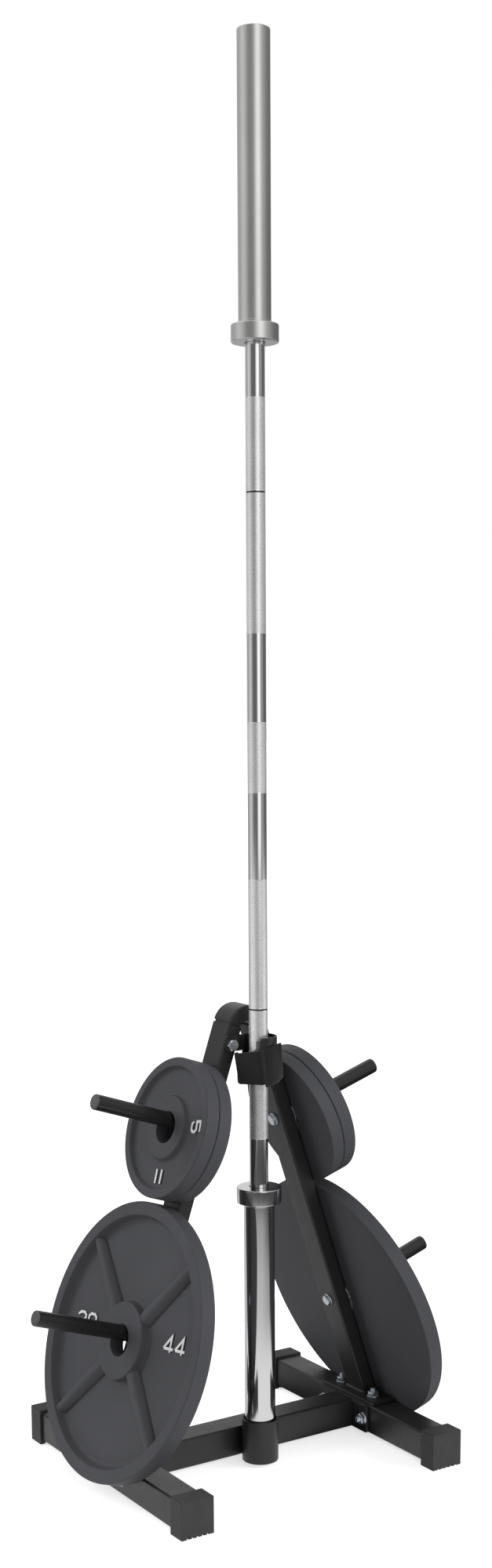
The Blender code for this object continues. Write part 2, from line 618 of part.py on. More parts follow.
def make_strap():
    """A hook-and-loop strap: a layer fixed round the hook, and a flap that closes the hook's mouth."""
    cloth_band("strap_fixed", arc(FIXED_LAYER, math.radians(80), math.radians(-70), 18))
    # (degrees from the flap's start, gap outside the fixed layer): the flap spirals out over that layer
    route = [(0, -0.0005), (13, 0.0005), (33, 0.0010), (53, 0.0010), (73, 0.0010), (93, 0.0012),
             (108, 0.0010), (123, 0.0004), (138, 0.0002), (153, 0.0004), (166, 0.0006), (173, 0.0009),
             (183, 0.0017), (192, 0.0027)]
    path = []
    for degrees, gap in reversed(route):
        turn = FLAP_START + math.radians(degrees)
        reach = FIXED_LAYER + gap + STRAP_THICKNESS
        path.append(Vector((reach * math.cos(turn), BAR_Y + reach * math.sin(turn), 0)))
    hinge = path[-1] - (path[-1] - Vector((0, BAR_Y, 0))).normalized() * STRAP_THICKNESS / 2
    cloth_band("strap_flap", [point - hinge for point in path], empty("strap_hinge", hinge))


def make_bar():
    """The shaft, and at each end a sleeve with its collar, spinning on two bushes and kept by an end bolt."""
    axis = empty("bar_axis", (0, BAR_Y, 0))
    segments = SEGMENTS["round"]
    half, grip = BAR_LENGTH / 2, GRIP_LENGTH / 2
    journal = half - SLEEVE_END_RECESS
    hole = BOLT_RADIUS + TOUCH
    hole_end = journal - END_BOLT_DEPTH
    side = [(SHAFT_RADIUS, grip), (JOURNAL_RADIUS, grip), (JOURNAL_RADIUS, journal),
            (hole, journal), (hole, hole_end)]
    rings = [(radius, -z) for radius, z in reversed(side)] + side
    piece("bar_shaft", turned(rings, segments), STEEL, (0, 0, BAR_MIDDLE), parent=axis)
    face = grip + TOUCH
    collar_top = face + COLLAR_THICKNESS
    bevel, chamfer = 0.002, 0.0015
    sleeve = [(SLEEVE_BORE, face), (COLLAR_RADIUS - bevel, face), (COLLAR_RADIUS, face + bevel),
              (COLLAR_RADIUS, collar_top - bevel), (COLLAR_RADIUS - bevel, collar_top),
              (SLEEVE_RADIUS, collar_top), (SLEEVE_RADIUS, half - chamfer),
              (SLEEVE_RADIUS - chamfer, half), (SLEEVE_BORE, half)]
    flange = journal + TOUCH
    head = flange + END_BOLT_FLANGE
    corner = HEX_ACROSS / 2 / math.cos(math.pi / 6)
    wide = SLEEVE_BORE - END_BOLT_ROOM
    end_bolt = [(BOLT_RADIUS, hole_end + 0.003), (BOLT_RADIUS, flange), (wide, flange),
                (wide, head), (corner, head, True), (corner, head + HEAD_HEIGHT, True)]
    bush = shape("bush", ring(JOURNAL_RADIUS + BUSH_CLEARANCE, SLEEVE_BORE - TOUCH, BUSH_LENGTH, 20), BRONZE)
    for end, sign in (("upper", 1), ("lower", -1)):
        seat = empty(f"sleeve_{end}_axis", (0, 0, BAR_MIDDLE), (0 if sign > 0 else math.pi, 0, 0), axis)
        piece(f"sleeve_{end}", turned(sleeve, segments, True), STEEL, parent=seat)
        piece(f"end_bolt_{end}", turned(end_bolt, SEGMENTS["bolt"]), ZINC, parent=seat)
        bpy.context.view_layer.update()
        for name, low in (("inner", face + 0.003), ("outer", journal - BUSH_LENGTH)):
            put(f"bush_{end}_{name}", bush, seat.matrix_world @ Matrix.Translation((0, 0, low)))


clear_scene()
BLACK_STEEL = material("black_powder_coat", (0.012, 0.012, 0.013), 0.45)
CAST_IRON = material("cast_iron_paint", (0.055, 0.055, 0.058), 0.62)
CAP_RUBBER = material("cap_rubber", (0.018, 0.018, 0.019), 0.6)
LINER_RUBBER = material("liner_rubber", (0.12, 0.12, 0.12), 0.8)
STRAP_CLOTH = material("strap_cloth", (0.012, 0.010, 0.011), 0.95)
ZINC = material("zinc_plate", (0.62, 0.66, 0.70), 0.28, 1.0)
STEEL = material("bright_steel", (0.62, 0.62, 0.63), 0.2, 1.0)
BRONZE = material("bush_bronze", (0.55, 0.35, 0.16), 0.35, 1.0)

lean_frames = {side: lean_frame(side, sign) for side, sign in SIDES.items()}
bpy.context.view_layer.update()
make_feet()
make_caps()
make_beam()
make_frame_bolts()
make_uprights(lean_frames)
make_bend()
make_posts(lean_frames)
make_weight_plates(lean_frames)
make_cup()
make_hook()
make_strap()
make_bar()
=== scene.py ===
import json
import math

import bmesh
import bpy
from mathutils import Matrix, Vector, noise


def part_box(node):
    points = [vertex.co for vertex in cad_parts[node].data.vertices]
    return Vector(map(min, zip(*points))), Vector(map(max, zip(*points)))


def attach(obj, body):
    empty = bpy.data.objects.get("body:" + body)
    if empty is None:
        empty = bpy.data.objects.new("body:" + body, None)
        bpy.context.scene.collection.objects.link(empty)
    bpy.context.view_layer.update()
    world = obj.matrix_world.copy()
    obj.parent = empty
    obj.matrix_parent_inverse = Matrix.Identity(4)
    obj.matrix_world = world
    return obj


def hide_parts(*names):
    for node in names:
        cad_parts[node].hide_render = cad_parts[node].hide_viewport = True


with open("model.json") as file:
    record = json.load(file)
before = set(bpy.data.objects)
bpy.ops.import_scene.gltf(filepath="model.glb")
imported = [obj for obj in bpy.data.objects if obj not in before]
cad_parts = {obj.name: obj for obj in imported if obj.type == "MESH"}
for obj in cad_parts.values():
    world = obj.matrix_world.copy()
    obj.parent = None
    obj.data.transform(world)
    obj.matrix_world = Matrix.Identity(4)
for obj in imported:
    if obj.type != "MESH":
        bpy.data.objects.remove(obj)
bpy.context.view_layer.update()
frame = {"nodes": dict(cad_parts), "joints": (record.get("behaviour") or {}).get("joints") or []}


# The two feet are lengths of 50 mm square steel tube, powder coated black. They run from front to back
# under the sides of the rack, and the uprights and the cross beam are bolted to them.
SIDES = {"left": -1, "right": 1}
TUBE = 0.050
TUBE_CORNER = 0.004
TUBE_WALL = 0.002


class Wire:
    """A wire between the nodes of a finish, on which sums are written as on paper."""

    def __init__(self, tree, socket):
        self.tree = tree
        self.socket = socket

    def add(self, kind, settings, sockets, output=0):
        """Adds a node: its settings are made first, then each of its sockets gets a value or a wire."""
        node = self.tree.nodes.new("ShaderNode" + kind)
        for name, value in settings.items():
            setattr(node, name, value)
        for name, value in sockets.items():
            if isinstance(value, Wire):
                self.tree.links.new(value.socket, node.inputs[name])
            else:
                node.inputs[name].default_value = value
        return Wire(self.tree, node.outputs[output])

    def maths(self, operation, *others):
        return self.add("Math", {"operation": operation}, dict(enumerate((self, *others))))

    def __add__(self, other):
        return self.maths("ADD", other)

    __radd__ = __add__

    def __sub__(self, other):
        return self.maths("SUBTRACT", other)

    def __rsub__(self, other):
        return self.add("Math", {"operation": "SUBTRACT"}, {0: other, 1: self})

    def __mul__(self, other):
        return self.maths("MULTIPLY", other)

    __rmul__ = __mul__

    def rise(self, low, high):
        """Nought below low, one above high, and smooth between them."""
        return self.add("MapRange", {"interpolation_type": "SMOOTHSTEP"},
                        {"Value": self, "From Min": low, "From Max": high})

    def grain(self, scale, detail=2.0):
        """Soft noise over the place that this wire carries."""
        return self.add("TexNoise", {}, {"Vector": self, "Scale": scale, "Detail": detail})

    def part(self, axis):
        return self.add("SeparateXYZ", {}, {0: self}, output="XYZ".index(axis))

    def tint(self, dark, light):
        """A colour between two, by this wire's value."""
        return self.add("Mix", {"data_type": "RGBA"}, {0: self, 6: (*dark, 1), 7: (*light, 1)}, output=2)

    def relief(self, strength, depth):
        return self.add("Bump", {}, {"Strength": strength, "Distance": depth, "Height": self})


def new_finish(name, slot, pattern, **steady):
    """A material. The pattern turns each point's place on the rack into what varies over the surface."""
    made = bpy.data.materials.new(name)
    made["slot"] = slot
    made.use_nodes = True
    tree = made.node_tree
    sockets = tree.nodes["Principled BSDF"].inputs
    place = Wire(tree, tree.nodes.new("ShaderNodeTexCoord").outputs["Object"])
    for word, value in steady.items():
        sockets[word].default_value = value
    for socket, wire in pattern(place).items():
        tree.links.new(wire.socket, sockets[socket])
    return made


def powder_coat(place):
    mottle = place.grain(14, 3)
    peel = place.grain(650)
    return {"Base Color": mottle.tint((0.0125, 0.0125, 0.0132), (0.0185, 0.0183, 0.0190)),
            "Roughness": 0.33 + 0.16 * place.grain(45, 3),
            "Normal": peel.relief(0.10, 0.0004)}


BLACK_COAT = new_finish("powder_coat", "black_powder_coat", powder_coat)


def at(x, y, z):
    return Matrix.Translation((x, y, z))


def rotation(degrees, axis):
    return Matrix.Rotation(math.radians(degrees), 4, axis)


def placed(verts, matrix):
    for vert in verts:
        vert.co = matrix @ vert.co


def grown_verts(result):
    return [item for item in result["geom"] if isinstance(item, bmesh.types.BMVert)]


def everything(bm):
    return bm.verts[:] + bm.edges[:] + bm.faces[:]


def round_off(bm, corners, radius, steps):
    """Rounds corners of a flat outline."""
    bmesh.ops.bevel(bm, geom=corners, offset=radius, offset_type="OFFSET", segments=steps, profile=0.5,
                    affect="VERTICES", material=-1)


def rounded(width, height, corner, steps=6):
    """A flat rectangle about the origin, with its corners rounded."""
    bm = bmesh.new()
    shape = Matrix.Diagonal((width, height, 1, 1))
    bmesh.ops.create_grid(bm, x_segments=1, y_segments=1, size=0.5, matrix=shape)
    round_off(bm, bm.verts[:], corner, steps)
    return bm


def tube(width, height, corner, wall, low, high, cuts=()):
    """A rectangular tube along +Z, its ends cut off at planes given as a point and an outward normal."""
    bm = rounded(width, height, corner)
    bmesh.ops.translate(bm, vec=(0, 0, low), verts=bm.verts)
    bmesh.ops.delete(bm, geom=bm.faces[:], context="FACES_ONLY")
    grown = bmesh.ops.extrude_edge_only(bm, edges=bm.edges[:])
    bmesh.ops.translate(bm, vec=(0, 0, high - low), verts=grown_verts(grown))
    for point, normal in cuts:
        bmesh.ops.bisect_plane(bm, geom=everything(bm), plane_co=point, plane_no=normal, clear_outer=True)
    bmesh.ops.recalc_face_normals(bm, faces=bm.faces)
    bmesh.ops.solidify(bm, geom=bm.faces[:], thickness=wall)
    return bm


def slab(width, height, corner, thickness):
    """A flat plate with round corners, from z = 0 up."""
    bm = rounded(width, height, corner)
    grown = bmesh.ops.extrude_face_region(bm, geom=bm.faces[:])
    bmesh.ops.translate(bm, vec=(0, 0, thickness), verts=grown_verts(grown))
    bmesh.ops.recalc_face_normals(bm, faces=bm.faces)
    return bm


def mesh_of(name, bm):
    """Turns a bmesh into a mesh and lets go of it."""
    mesh = bpy.data.meshes.new(name)
    bm.to_mesh(mesh)
    bm.free()
    return mesh


def added(name, data):
    """A new object in the scene."""
    made = bpy.data.objects.new(name, data)
    bpy.context.scene.collection.objects.link(made)
    return made


def fitted(name, bm, finish, body, stands_for=(), eased=0.0, crisp=35):
    """Makes a piece of a bmesh, with smooth round sides and eased edges, and fits it to its body."""
    mesh = mesh_of(name, bm)
    mesh.materials.append(finish)
    mesh.shade_smooth()
    mesh.set_sharp_from_angle(angle=math.radians(crisp))
    made = added(name, mesh)
    if eased:
        edges = made.modifiers.new("eased_edges", "BEVEL")
        edges.width = eased
        edges.segments = 2
        edges.limit_method = "ANGLE"
        edges.angle_limit = math.radians(crisp)
    even = made.modifiers.new("even_shading", "WEIGHTED_NORMAL")
    even.keep_sharp = True
    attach(made, body)
    if stands_for:
        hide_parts(*stands_for)
    return made


for side in SIDES:
    low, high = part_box(f"foot_tube_{side}")
    middle = (low + high) / 2
    foot = tube(TUBE, TUBE, TUBE_CORNER, TUBE_WALL, low.y, high.y)
    placed(foot.verts, at(middle.x, 0, middle.z) @ rotation(-90, "X"))
    fitted(f"{side}_foot", foot, BLACK_COAT, "rack", [f"foot_tube_{side}"], eased=0.0004)


# Each foot ends in a moulded rubber cap at the front and the rear. The rack stands on the caps' thick
# soles, which have five grooves across them, and the tube sits in a square pocket in each cap.
CAP_CORNER = 0.0025
CAP_END = 0.005
SOLE = 0.006
SOLE_GROOVES = 5
GROOVE_PITCH = 0.0089
GROOVE_WIDTH = 0.0030
GROOVE_DEPTH = 0.0030


def moulded_rubber(place):
    worn = place.grain(60, 4)
    return {"Base Color": worn.tint((0.029, 0.029, 0.030), (0.049, 0.048, 0.049)),
            "Roughness": 0.62 + 0.2 * place.grain(120),
            "Normal": place.grain(900).relief(0.25, 0.0003)}


CAP_RUBBER = new_finish("moulded_rubber", "cap_rubber", moulded_rubber)


def hollowed(bm, cutter):
    """Cuts one closed shape out of another."""
    objects = [added("cut", mesh_of("cut", shape)) for shape in (bm, cutter)]
    cut = objects[0].modifiers.new("cut", "BOOLEAN")
    cut.object = objects[1]
    result = bmesh.new()
    result.from_object(objects[0], bpy.context.evaluated_depsgraph_get())
    for made in objects:
        bpy.data.objects.remove(made)
    return result


def cap(low, high):
    """One cap about x = 0, with its end at y = 0 and its pocket open towards +Y."""
    width, depth, height = high - low
    bm = bmesh.new()
    outline = [(-width / 2, 0)]
    for groove in range(SOLE_GROOVES):
        middle = (groove - (SOLE_GROOVES - 1) / 2) * GROOVE_PITCH
        left, right = middle - GROOVE_WIDTH / 2, middle + GROOVE_WIDTH / 2
        outline += [(left, 0), (left, GROOVE_DEPTH), (right, GROOVE_DEPTH), (right, 0)]
    outline += [(width / 2, 0), (width / 2, height), (-width / 2, height)]
    corners = [bm.verts.new((x, 0, z)) for x, z in outline]
    bm.faces.new(corners)
    round_off(bm, corners[-2:], CAP_CORNER, 5)
    grown = bmesh.ops.extrude_face_region(bm, geom=bm.faces[:])
    bmesh.ops.translate(bm, vec=(0, depth, 0), verts=grown_verts(grown))
    bmesh.ops.recalc_face_normals(bm, faces=bm.faces)
    pocket = slab(TUBE, TUBE, TUBE_CORNER, depth)
    placed(pocket.verts, at(0, CAP_END, SOLE + TUBE / 2) @ rotation(-90, "X"))
    return hollowed(bm, pocket)


for side in SIDES:
    for end, turn in (("front", 0), ("rear", 180)):
        low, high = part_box(f"foot_cap_{end}_{side}")
        tip = low.y if end == "front" else high.y
        made = cap(low, high)
        placed(made.verts, at((low.x + high.x) / 2, tip, 0) @ rotation(turn, "Z"))
        fitted(f"{end}_{side}_cap", made, CAP_RUBBER, "rack", [f"foot_cap_{end}_{side}"], eased=0.0008)


# The cross beam is the same square tube, with a 5 mm steel flange welded on each end that bolts to a
# foot. It is coated in one piece with its flanges.
FLANGE = 0.005
FLANGE_HEIGHT = 0.048
PLATE_CORNER = 0.004
BEAM_TUBE = TUBE - 0.0002

low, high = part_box("cross_beam")
middle = (low + high) / 2
beam = tube(BEAM_TUBE, BEAM_TUBE, TUBE_CORNER, TUBE_WALL, low.x + FLANGE / 2, high.x - FLANGE / 2)
placed(beam.verts, at(0, 0, middle.z) @ rotation(90, "Y"))
fitted("beam", beam, BLACK_COAT, "rack", ["cross_beam"], eased=0.0004)
for side, sign in SIDES.items():
    flange = slab(FLANGE_HEIGHT, high.y - low.y, PLATE_CORNER, FLANGE)
    placed(flange.verts, at(sign * high.x, 0, middle.z) @ rotation(-90 * sign, "Y"))
    fitted(f"{side}_beam_flange", flange, BLACK_COAT, "rack", ["cross_beam"], eased=0.0008)


# Each upright is a 50 x 25 mm tube that leans inwards, mitred at the foot and welded all round to a base
# plate. The label on the left one is left out, and its place is bare coat.
UPRIGHT_WIDTH = 0.050
UPRIGHT_DEPTH = 0.025
UPRIGHT_CORNER = 0.003
UPRIGHT_WALL = 0.002
BEND_RADIUS = 0.036
SEAM_GAP = 0.0035
BASE_PLATE_LENGTH = 0.150
WELD = 0.0035
WELD_SINK = 0.001
WELD_STEP = 0.0014
WELD_RIPPLES = 90
RIPPLE_SHARE = 0.25
SPARE = 0.05

out = {joint["child"]: Vector(joint["axis"]) for joint in frame["joints"]}
LEAN = math.asin(out["plate_20_right"].z)
APEX = 0.762
TOUCH = 0.0003
BASE_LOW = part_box("foot_tube_left")[1].z + TOUCH
BASE_TOP = BASE_LOW + FLANGE
BEND_CENTRE = APEX - BEND_RADIUS
ROOT = (BEND_RADIUS + BEND_CENTRE * math.sin(LEAN)) / math.cos(LEAN)
SEAM = ROOT * math.sin(LEAN) + BEND_CENTRE * math.cos(LEAN)


def leaning(side):
    """The upright's own frame: x points out of its outer face, and z runs up it."""
    turn = rotation(0 if SIDES[side] > 0 else 180, "Z")
    return at(SIDES[side] * ROOT, 0, 0) @ turn @ Matrix.Rotation(-LEAN, 4, "Y")


def tube_place(side):
    """The same along the middle of the upright's tube."""
    return leaning(side) @ at(-UPRIGHT_DEPTH / 2, 0, 0)


def weld_bead(width, depth):
    """A rippled fillet of weld round a rectangle, on z = 0."""
    bm = rounded(depth, width, UPRIGHT_CORNER, 3)
    bmesh.ops.delete(bm, geom=bm.faces[:], context="FACES_ONLY")
    for _ in range(5):
        long_edges = [edge for edge in bm.edges if edge.calc_length() > WELD_STEP]
        bmesh.ops.subdivide_edges(bm, edges=long_edges, cuts=1)
    bmesh.ops.translate(bm, vec=(0, 0, WELD), verts=bm.verts)
    ring = bm.edges[:]
    for turn in (30, 60, 90):
        grown = bmesh.ops.extrude_edge_only(bm, edges=ring)
        ring = [item for item in grown["geom"] if isinstance(item, bmesh.types.BMEdge)]
        drop = WELD * (math.cos(math.radians(turn)) - math.cos(math.radians(turn - 30)))
        spread = WELD * (math.sin(math.radians(turn)) - math.sin(math.radians(turn - 30)))
        for vert in grown_verts(grown):
            side_x = max(-1, min(1, vert.co.x / (depth / 2 - UPRIGHT_CORNER)))
            side_y = max(-1, min(1, vert.co.y / (width / 2 - UPRIGHT_CORNER)))
            away = Vector((int(side_x), int(side_y), 0)).normalized()
            wave = math.sin(WELD_RIPPLES * math.tau * (vert.co.x - vert.co.y) / (width + depth))
            vert.co += away * spread * (1 + RIPPLE_SHARE * wave) + Vector((0, 0, drop))
    bmesh.ops.recalc_face_normals(bm, faces=bm.faces)
    return bm


for side, sign in SIDES.items():
    place = tube_place(side)
    inverse = place.inverted()
    foot_plane = inverse @ Vector((0, 0, BASE_TOP - WELD_SINK)), inverse.to_3x3() @ Vector((0, 0, -1))
    top_plane = (0, 0, SEAM - SEAM_GAP), (0, 0, 1)
    upright = tube(UPRIGHT_DEPTH, UPRIGHT_WIDTH, UPRIGHT_CORNER, UPRIGHT_WALL, 0, SEAM + SPARE,
                   [foot_plane, top_plane])
    placed(upright.verts, place)
    fitted(f"{side}_upright", upright, BLACK_COAT, "rack", [f"upright_{side}"], eased=0.0004)
    low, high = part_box(f"foot_tube_{side}")
    plate = slab(TUBE, BASE_PLATE_LENGTH, PLATE_CORNER, FLANGE)
    placed(plate.verts, at((low.x + high.x) / 2, 0, BASE_LOW))
    fitted(f"{side}_base_plate", plate, BLACK_COAT, "rack", [f"upright_{side}"], eased=0.0008)
    slant = UPRIGHT_DEPTH / math.cos(LEAN)
    centre = sign * (ROOT - BASE_TOP * math.tan(LEAN) - slant / 2)
    bead = weld_bead(UPRIGHT_WIDTH, slant)
    placed(bead.verts, at(centre, 0, BASE_TOP))
    fitted(f"{side}_base_weld", bead, BLACK_COAT, "rack", crisp=60)


# The two uprights meet in one bent piece of thicker tube. Its ends are turned down to spigots that slide
# into the uprights, which leaves a narrow dark seam on each side.
BEND_WALL = 0.0043
SPIGOT = 0.022
SPIGOT_FIT = 0.0003
SPIGOT_OVERLAP = 0.0005
BEND_STEPS = 40


def swept(bm, geom, angle, steps, centre=(0, 0, 0), axis=(0, 0, 1)):
    """Swings an outline round an axis. A whole turn closes on itself."""
    bmesh.ops.spin(bm, geom=geom, cent=centre, axis=axis, dvec=(0, 0, 0), angle=angle, steps=steps,
                   use_merge=angle == math.tau, use_duplicate=False)


bend = rounded(UPRIGHT_DEPTH, UPRIGHT_WIDTH, UPRIGHT_CORNER)
bmesh.ops.delete(bend, geom=bend.faces[:], context="FACES_ONLY")
start = at(0, 0, BEND_CENTRE) @ Matrix.Rotation(-LEAN, 4, "Y") @ at(BEND_RADIUS - UPRIGHT_DEPTH / 2, 0, 0)
placed(bend.verts, start)
swept(bend, bend.verts[:] + bend.edges[:], math.pi - 2 * LEAN, BEND_STEPS, (0, 0, BEND_CENTRE), (0, -1, 0))
bmesh.ops.recalc_face_normals(bend, faces=bend.faces)
bmesh.ops.solidify(bend, geom=bend.faces[:], thickness=BEND_WALL)
fitted("bend", bend, BLACK_COAT, "rack", ["apex_bend"], eased=0.0005)
for side in SIDES:
    fit = UPRIGHT_WALL + SPIGOT_FIT
    spigot = tube(UPRIGHT_DEPTH - 2 * fit, UPRIGHT_WIDTH - 2 * fit, UPRIGHT_CORNER / 2, UPRIGHT_WALL,
                  SEAM - SPIGOT, SEAM + SPIGOT_OVERLAP)
    placed(spigot.verts, tube_place(side))
    fitted(f"{side}_spigot", spigot, BLACK_COAT, "rack", ["apex_bend"])


# Four round steel posts hold the plates. Each is tapped at its inner end and stands on a wide washer,
# against which the plate rests; a closed, slightly domed plug finishes the outer end.
POST_RADIUS = 0.0127
POST_END = 0.190
PLUG_LENGTH = 0.003
PLUG_RADIUS = POST_RADIUS - 0.0002
PLUG_DOME = 0.0006
PLUG_FLAT = 0.004
WASHER_RADIUS = 0.025
WASHER_BORE = 0.0055
WASHER = 0.0022
SEAT = WASHER + 2 * TOUCH
BORE_RADIUS = 0.0258
HANG = BORE_RADIUS - POST_RADIUS - TOUCH
BIG_RADIUS = 0.225
SMALL_RADIUS = 0.115
RIM_RISE = 0.0171
RIM_ROOM = 0.0078
STATIONS = {"lower": RIM_RISE + BIG_RADIUS + HANG}
STATIONS["upper"] = STATIONS["lower"] + BIG_RADIUS + RIM_ROOM + SMALL_RADIUS


def turned(section, steps=64, segments=5):
    """Turns a section about +Z. Its corners are (radius, height) or (radius, height, fillet)."""
    bm = bmesh.new()
    corners = [bm.verts.new((corner[0], 0, corner[1])) for corner in section]
    bm.faces.new(corners)
    for vert, corner in zip(corners, section):
        if len(corner) == 3:
            round_off(bm, [vert], corner[2], segments)
    bmesh.ops.delete(bm, geom=bm.faces[:], context="FACES_ONLY")
    on_axis = [edge for edge in bm.edges if max(vert.co.x for vert in edge.verts) < 1e-7]
    bmesh.ops.delete(bm, geom=on_axis, context="EDGES")
    swept(bm, bm.verts[:] + bm.edges[:], math.tau, steps)
    bmesh.ops.remove_doubles(bm, verts=bm.verts, dist=1e-6)
    bmesh.ops.recalc_face_normals(bm, faces=bm.faces)
    return bm


def along(axis, centre):
    """Takes +Z to an axis and the origin to a centre."""
    turn = Vector((0, 0, 1)).rotation_difference(Vector(axis))
    return Matrix.Translation(centre) @ turn.to_matrix().to_4x4()


def fit_one(kind, spot, side, bm, finish, place):
    """Fits one of several pieces of a kind, by its spot and its side, for the solid of that name."""
    placed(bm.verts, place)
    fitted(f"{spot}_{side}_{kind}", bm, finish, "rack", [f"{kind}_{spot}_{side}"])


def post_place(side, level):
    return leaning(side) @ along((1, 0, 0), (0, 0, STATIONS[level]))


def post_coat(place):
    crease_highlight = place.grain(25, 4)
    return {"Base Color": crease_highlight.tint((0.0095, 0.0095, 0.0100), (0.0150, 0.0150, 0.0155)),
            "Roughness": 0.24 + 0.14 * place.grain(35, 3),
            "Normal": place.grain(500).relief(0.06, 0.0003)}


def grey_plastic(place):
    return {"Base Color": place.grain(40, 3).tint((0.058, 0.058, 0.061), (0.084, 0.084, 0.087)),
            "Roughness": 0.32 + 0.1 * place.grain(300)}


POST_COAT = new_finish("glossy_coat", "black_powder_coat", post_coat)
PLASTIC = new_finish("grey_plastic", "black_powder_coat", grey_plastic)


def zinc(place):
    spangle = place.grain(350, 3)
    return {"Base Color": spangle.tint((0.62, 0.68, 0.74), (0.84, 0.88, 0.92)),
            "Roughness": 0.26 + 0.22 * place.grain(600),
            "Normal": place.grain(1500).relief(0.08, 0.0002)}


ZINC = new_finish("zinc", "zinc_plate", zinc, Metallic=1.0)

MOUTH = POST_END - PLUG_LENGTH
for side in SIDES:
    for level in STATIONS:
        place = post_place(side, level)
        post = turned([(0, MOUTH), (POST_RADIUS, MOUTH, 0.0007), (POST_RADIUS, SEAT), (0, SEAT)], 48)
        fit_one("post", level, side, post, POST_COAT, place)
        plug = turned([(0, MOUTH), (PLUG_RADIUS, MOUTH, 0.0005),
                       (PLUG_RADIUS, POST_END - PLUG_DOME, 0.0016), (PLUG_FLAT, POST_END), (0, POST_END)], 48)
        placed(plug.verts, place)
        fitted(f"{level}_{side}_post_plug", plug, PLASTIC, "rack")
        washer = turned([(WASHER_BORE, TOUCH), (WASHER_RADIUS, TOUCH, 0.0004),
                         (WASHER_RADIUS, TOUCH + WASHER, 0.0006), (WASHER_BORE, TOUCH + WASHER)], 48, 2)
        fit_one("post_washer", level, side, washer, ZINC, place)


# All the frame's fasteners are M10 and zinc plated: carriage bolts up through the feet and base plates,
# hexagon bolts through the feet and beam flanges, and bolts from inside the uprights into the posts.
BOLT_RADIUS = 0.005
THREAD_PITCH = 0.0015
THREAD_DEPTH = 0.0009
HEX_ACROSS = 0.017
HEX_CHAMFER = 0.0007
HEX_TOP = 0.93
HEAD = 0.0065
NUT = 0.0082
WASHER_FACE_RADIUS = 0.0105
WASHER_FACE = 0.0013
STUD_TIP = 0.006
DOME = [(0, 0.004), (0.006, 0.0036)]
POST_BOLT = 0.050
BASE_BOLT_OFFSET = 0.045
FLANGE_BOLT_OFFSET = 0.057


def hexed(bm, bottom, top):
    """Pushes the round blank between two heights out to a hexagon, its corners turned off at the top."""
    flat = HEX_ACROSS / 2
    for vert in bm.verts:
        if abs(vert.co.xy.length - flat) < 1e-5 and bottom - 1e-5 < vert.co.z < top + 1e-5:
            turn = math.atan2(vert.co.y, vert.co.x) % (math.pi / 3) - math.pi / 6
            grow = 1 / math.cos(turn)
            vert.co.xy *= grow
            if vert.co.z > top - 1e-5:
                vert.co.z -= flat * (grow - 1) * math.tan(math.radians(30))
    return bm


def thread(radius, low, high):
    """The crests of a thread as corners of a section, from low up to high."""
    crests = int((high - low) / THREAD_PITCH)
    corners = []
    for crest in range(crests):
        start = low + crest * THREAD_PITCH
        corners += [(radius, start + 0.0003), (radius - THREAD_DEPTH, start + THREAD_PITCH / 2)]
    return corners + [(radius - 0.0004, high - 0.0006), (radius - 0.0012, high)]


def hex_head(flange):
    """A hexagon head that stands on z = 0, with a washer face of that radius or none."""
    flat = HEX_ACROSS / 2
    foot = [(flange, 0), (flange, WASHER_FACE, 0.0006)] if flange else []
    base = WASHER_FACE if flange else 0
    shoulder = HEAD - HEX_CHAMFER
    blank = [(flat, base), (flat, shoulder), (flat * HEX_TOP, HEAD), (0, HEAD)]
    bm = turned([(0, 0)] + foot + blank, 48, 3)
    return hexed(bm, base, shoulder)


def nut():
    flat = HEX_ACROSS / 2
    bore = BOLT_RADIUS - THREAD_DEPTH
    shoulder = NUT - HEX_CHAMFER
    bm = turned([(bore, 0), (WASHER_FACE_RADIUS, 0), (WASHER_FACE_RADIUS, WASHER_FACE, 0.0006),
                 (flat, WASHER_FACE), (flat, shoulder), (flat * HEX_TOP, NUT), (BOLT_RADIUS + 0.0004, NUT),
                 (bore, NUT - 0.001)], 48, 3)
    return hexed(bm, WASHER_FACE, shoulder)


def stud(low, high):
    """The bolt's end, from a plain shank up through its thread."""
    crests = thread(BOLT_RADIUS, high - STUD_TIP - NUT, high)
    return turned([(0, low), (BOLT_RADIUS, low)] + crests + [(0, high)], 32)


def joined(*shapes):
    """Several closed shapes in one bmesh."""
    together = bmesh.new()
    for bm in shapes:
        mesh = mesh_of("part", bm)
        together.from_mesh(mesh)
        bpy.data.meshes.remove(mesh)
    return together


def plain_bolt(length, flange):
    """A hexagon bolt whose thread is out of sight, its head standing on z = 0."""
    shank = turned([(0, -length), (BOLT_RADIUS, -length, 0.001), (BOLT_RADIUS, 0), (0, 0)], 24, 2)
    return joined(hex_head(flange), shank)


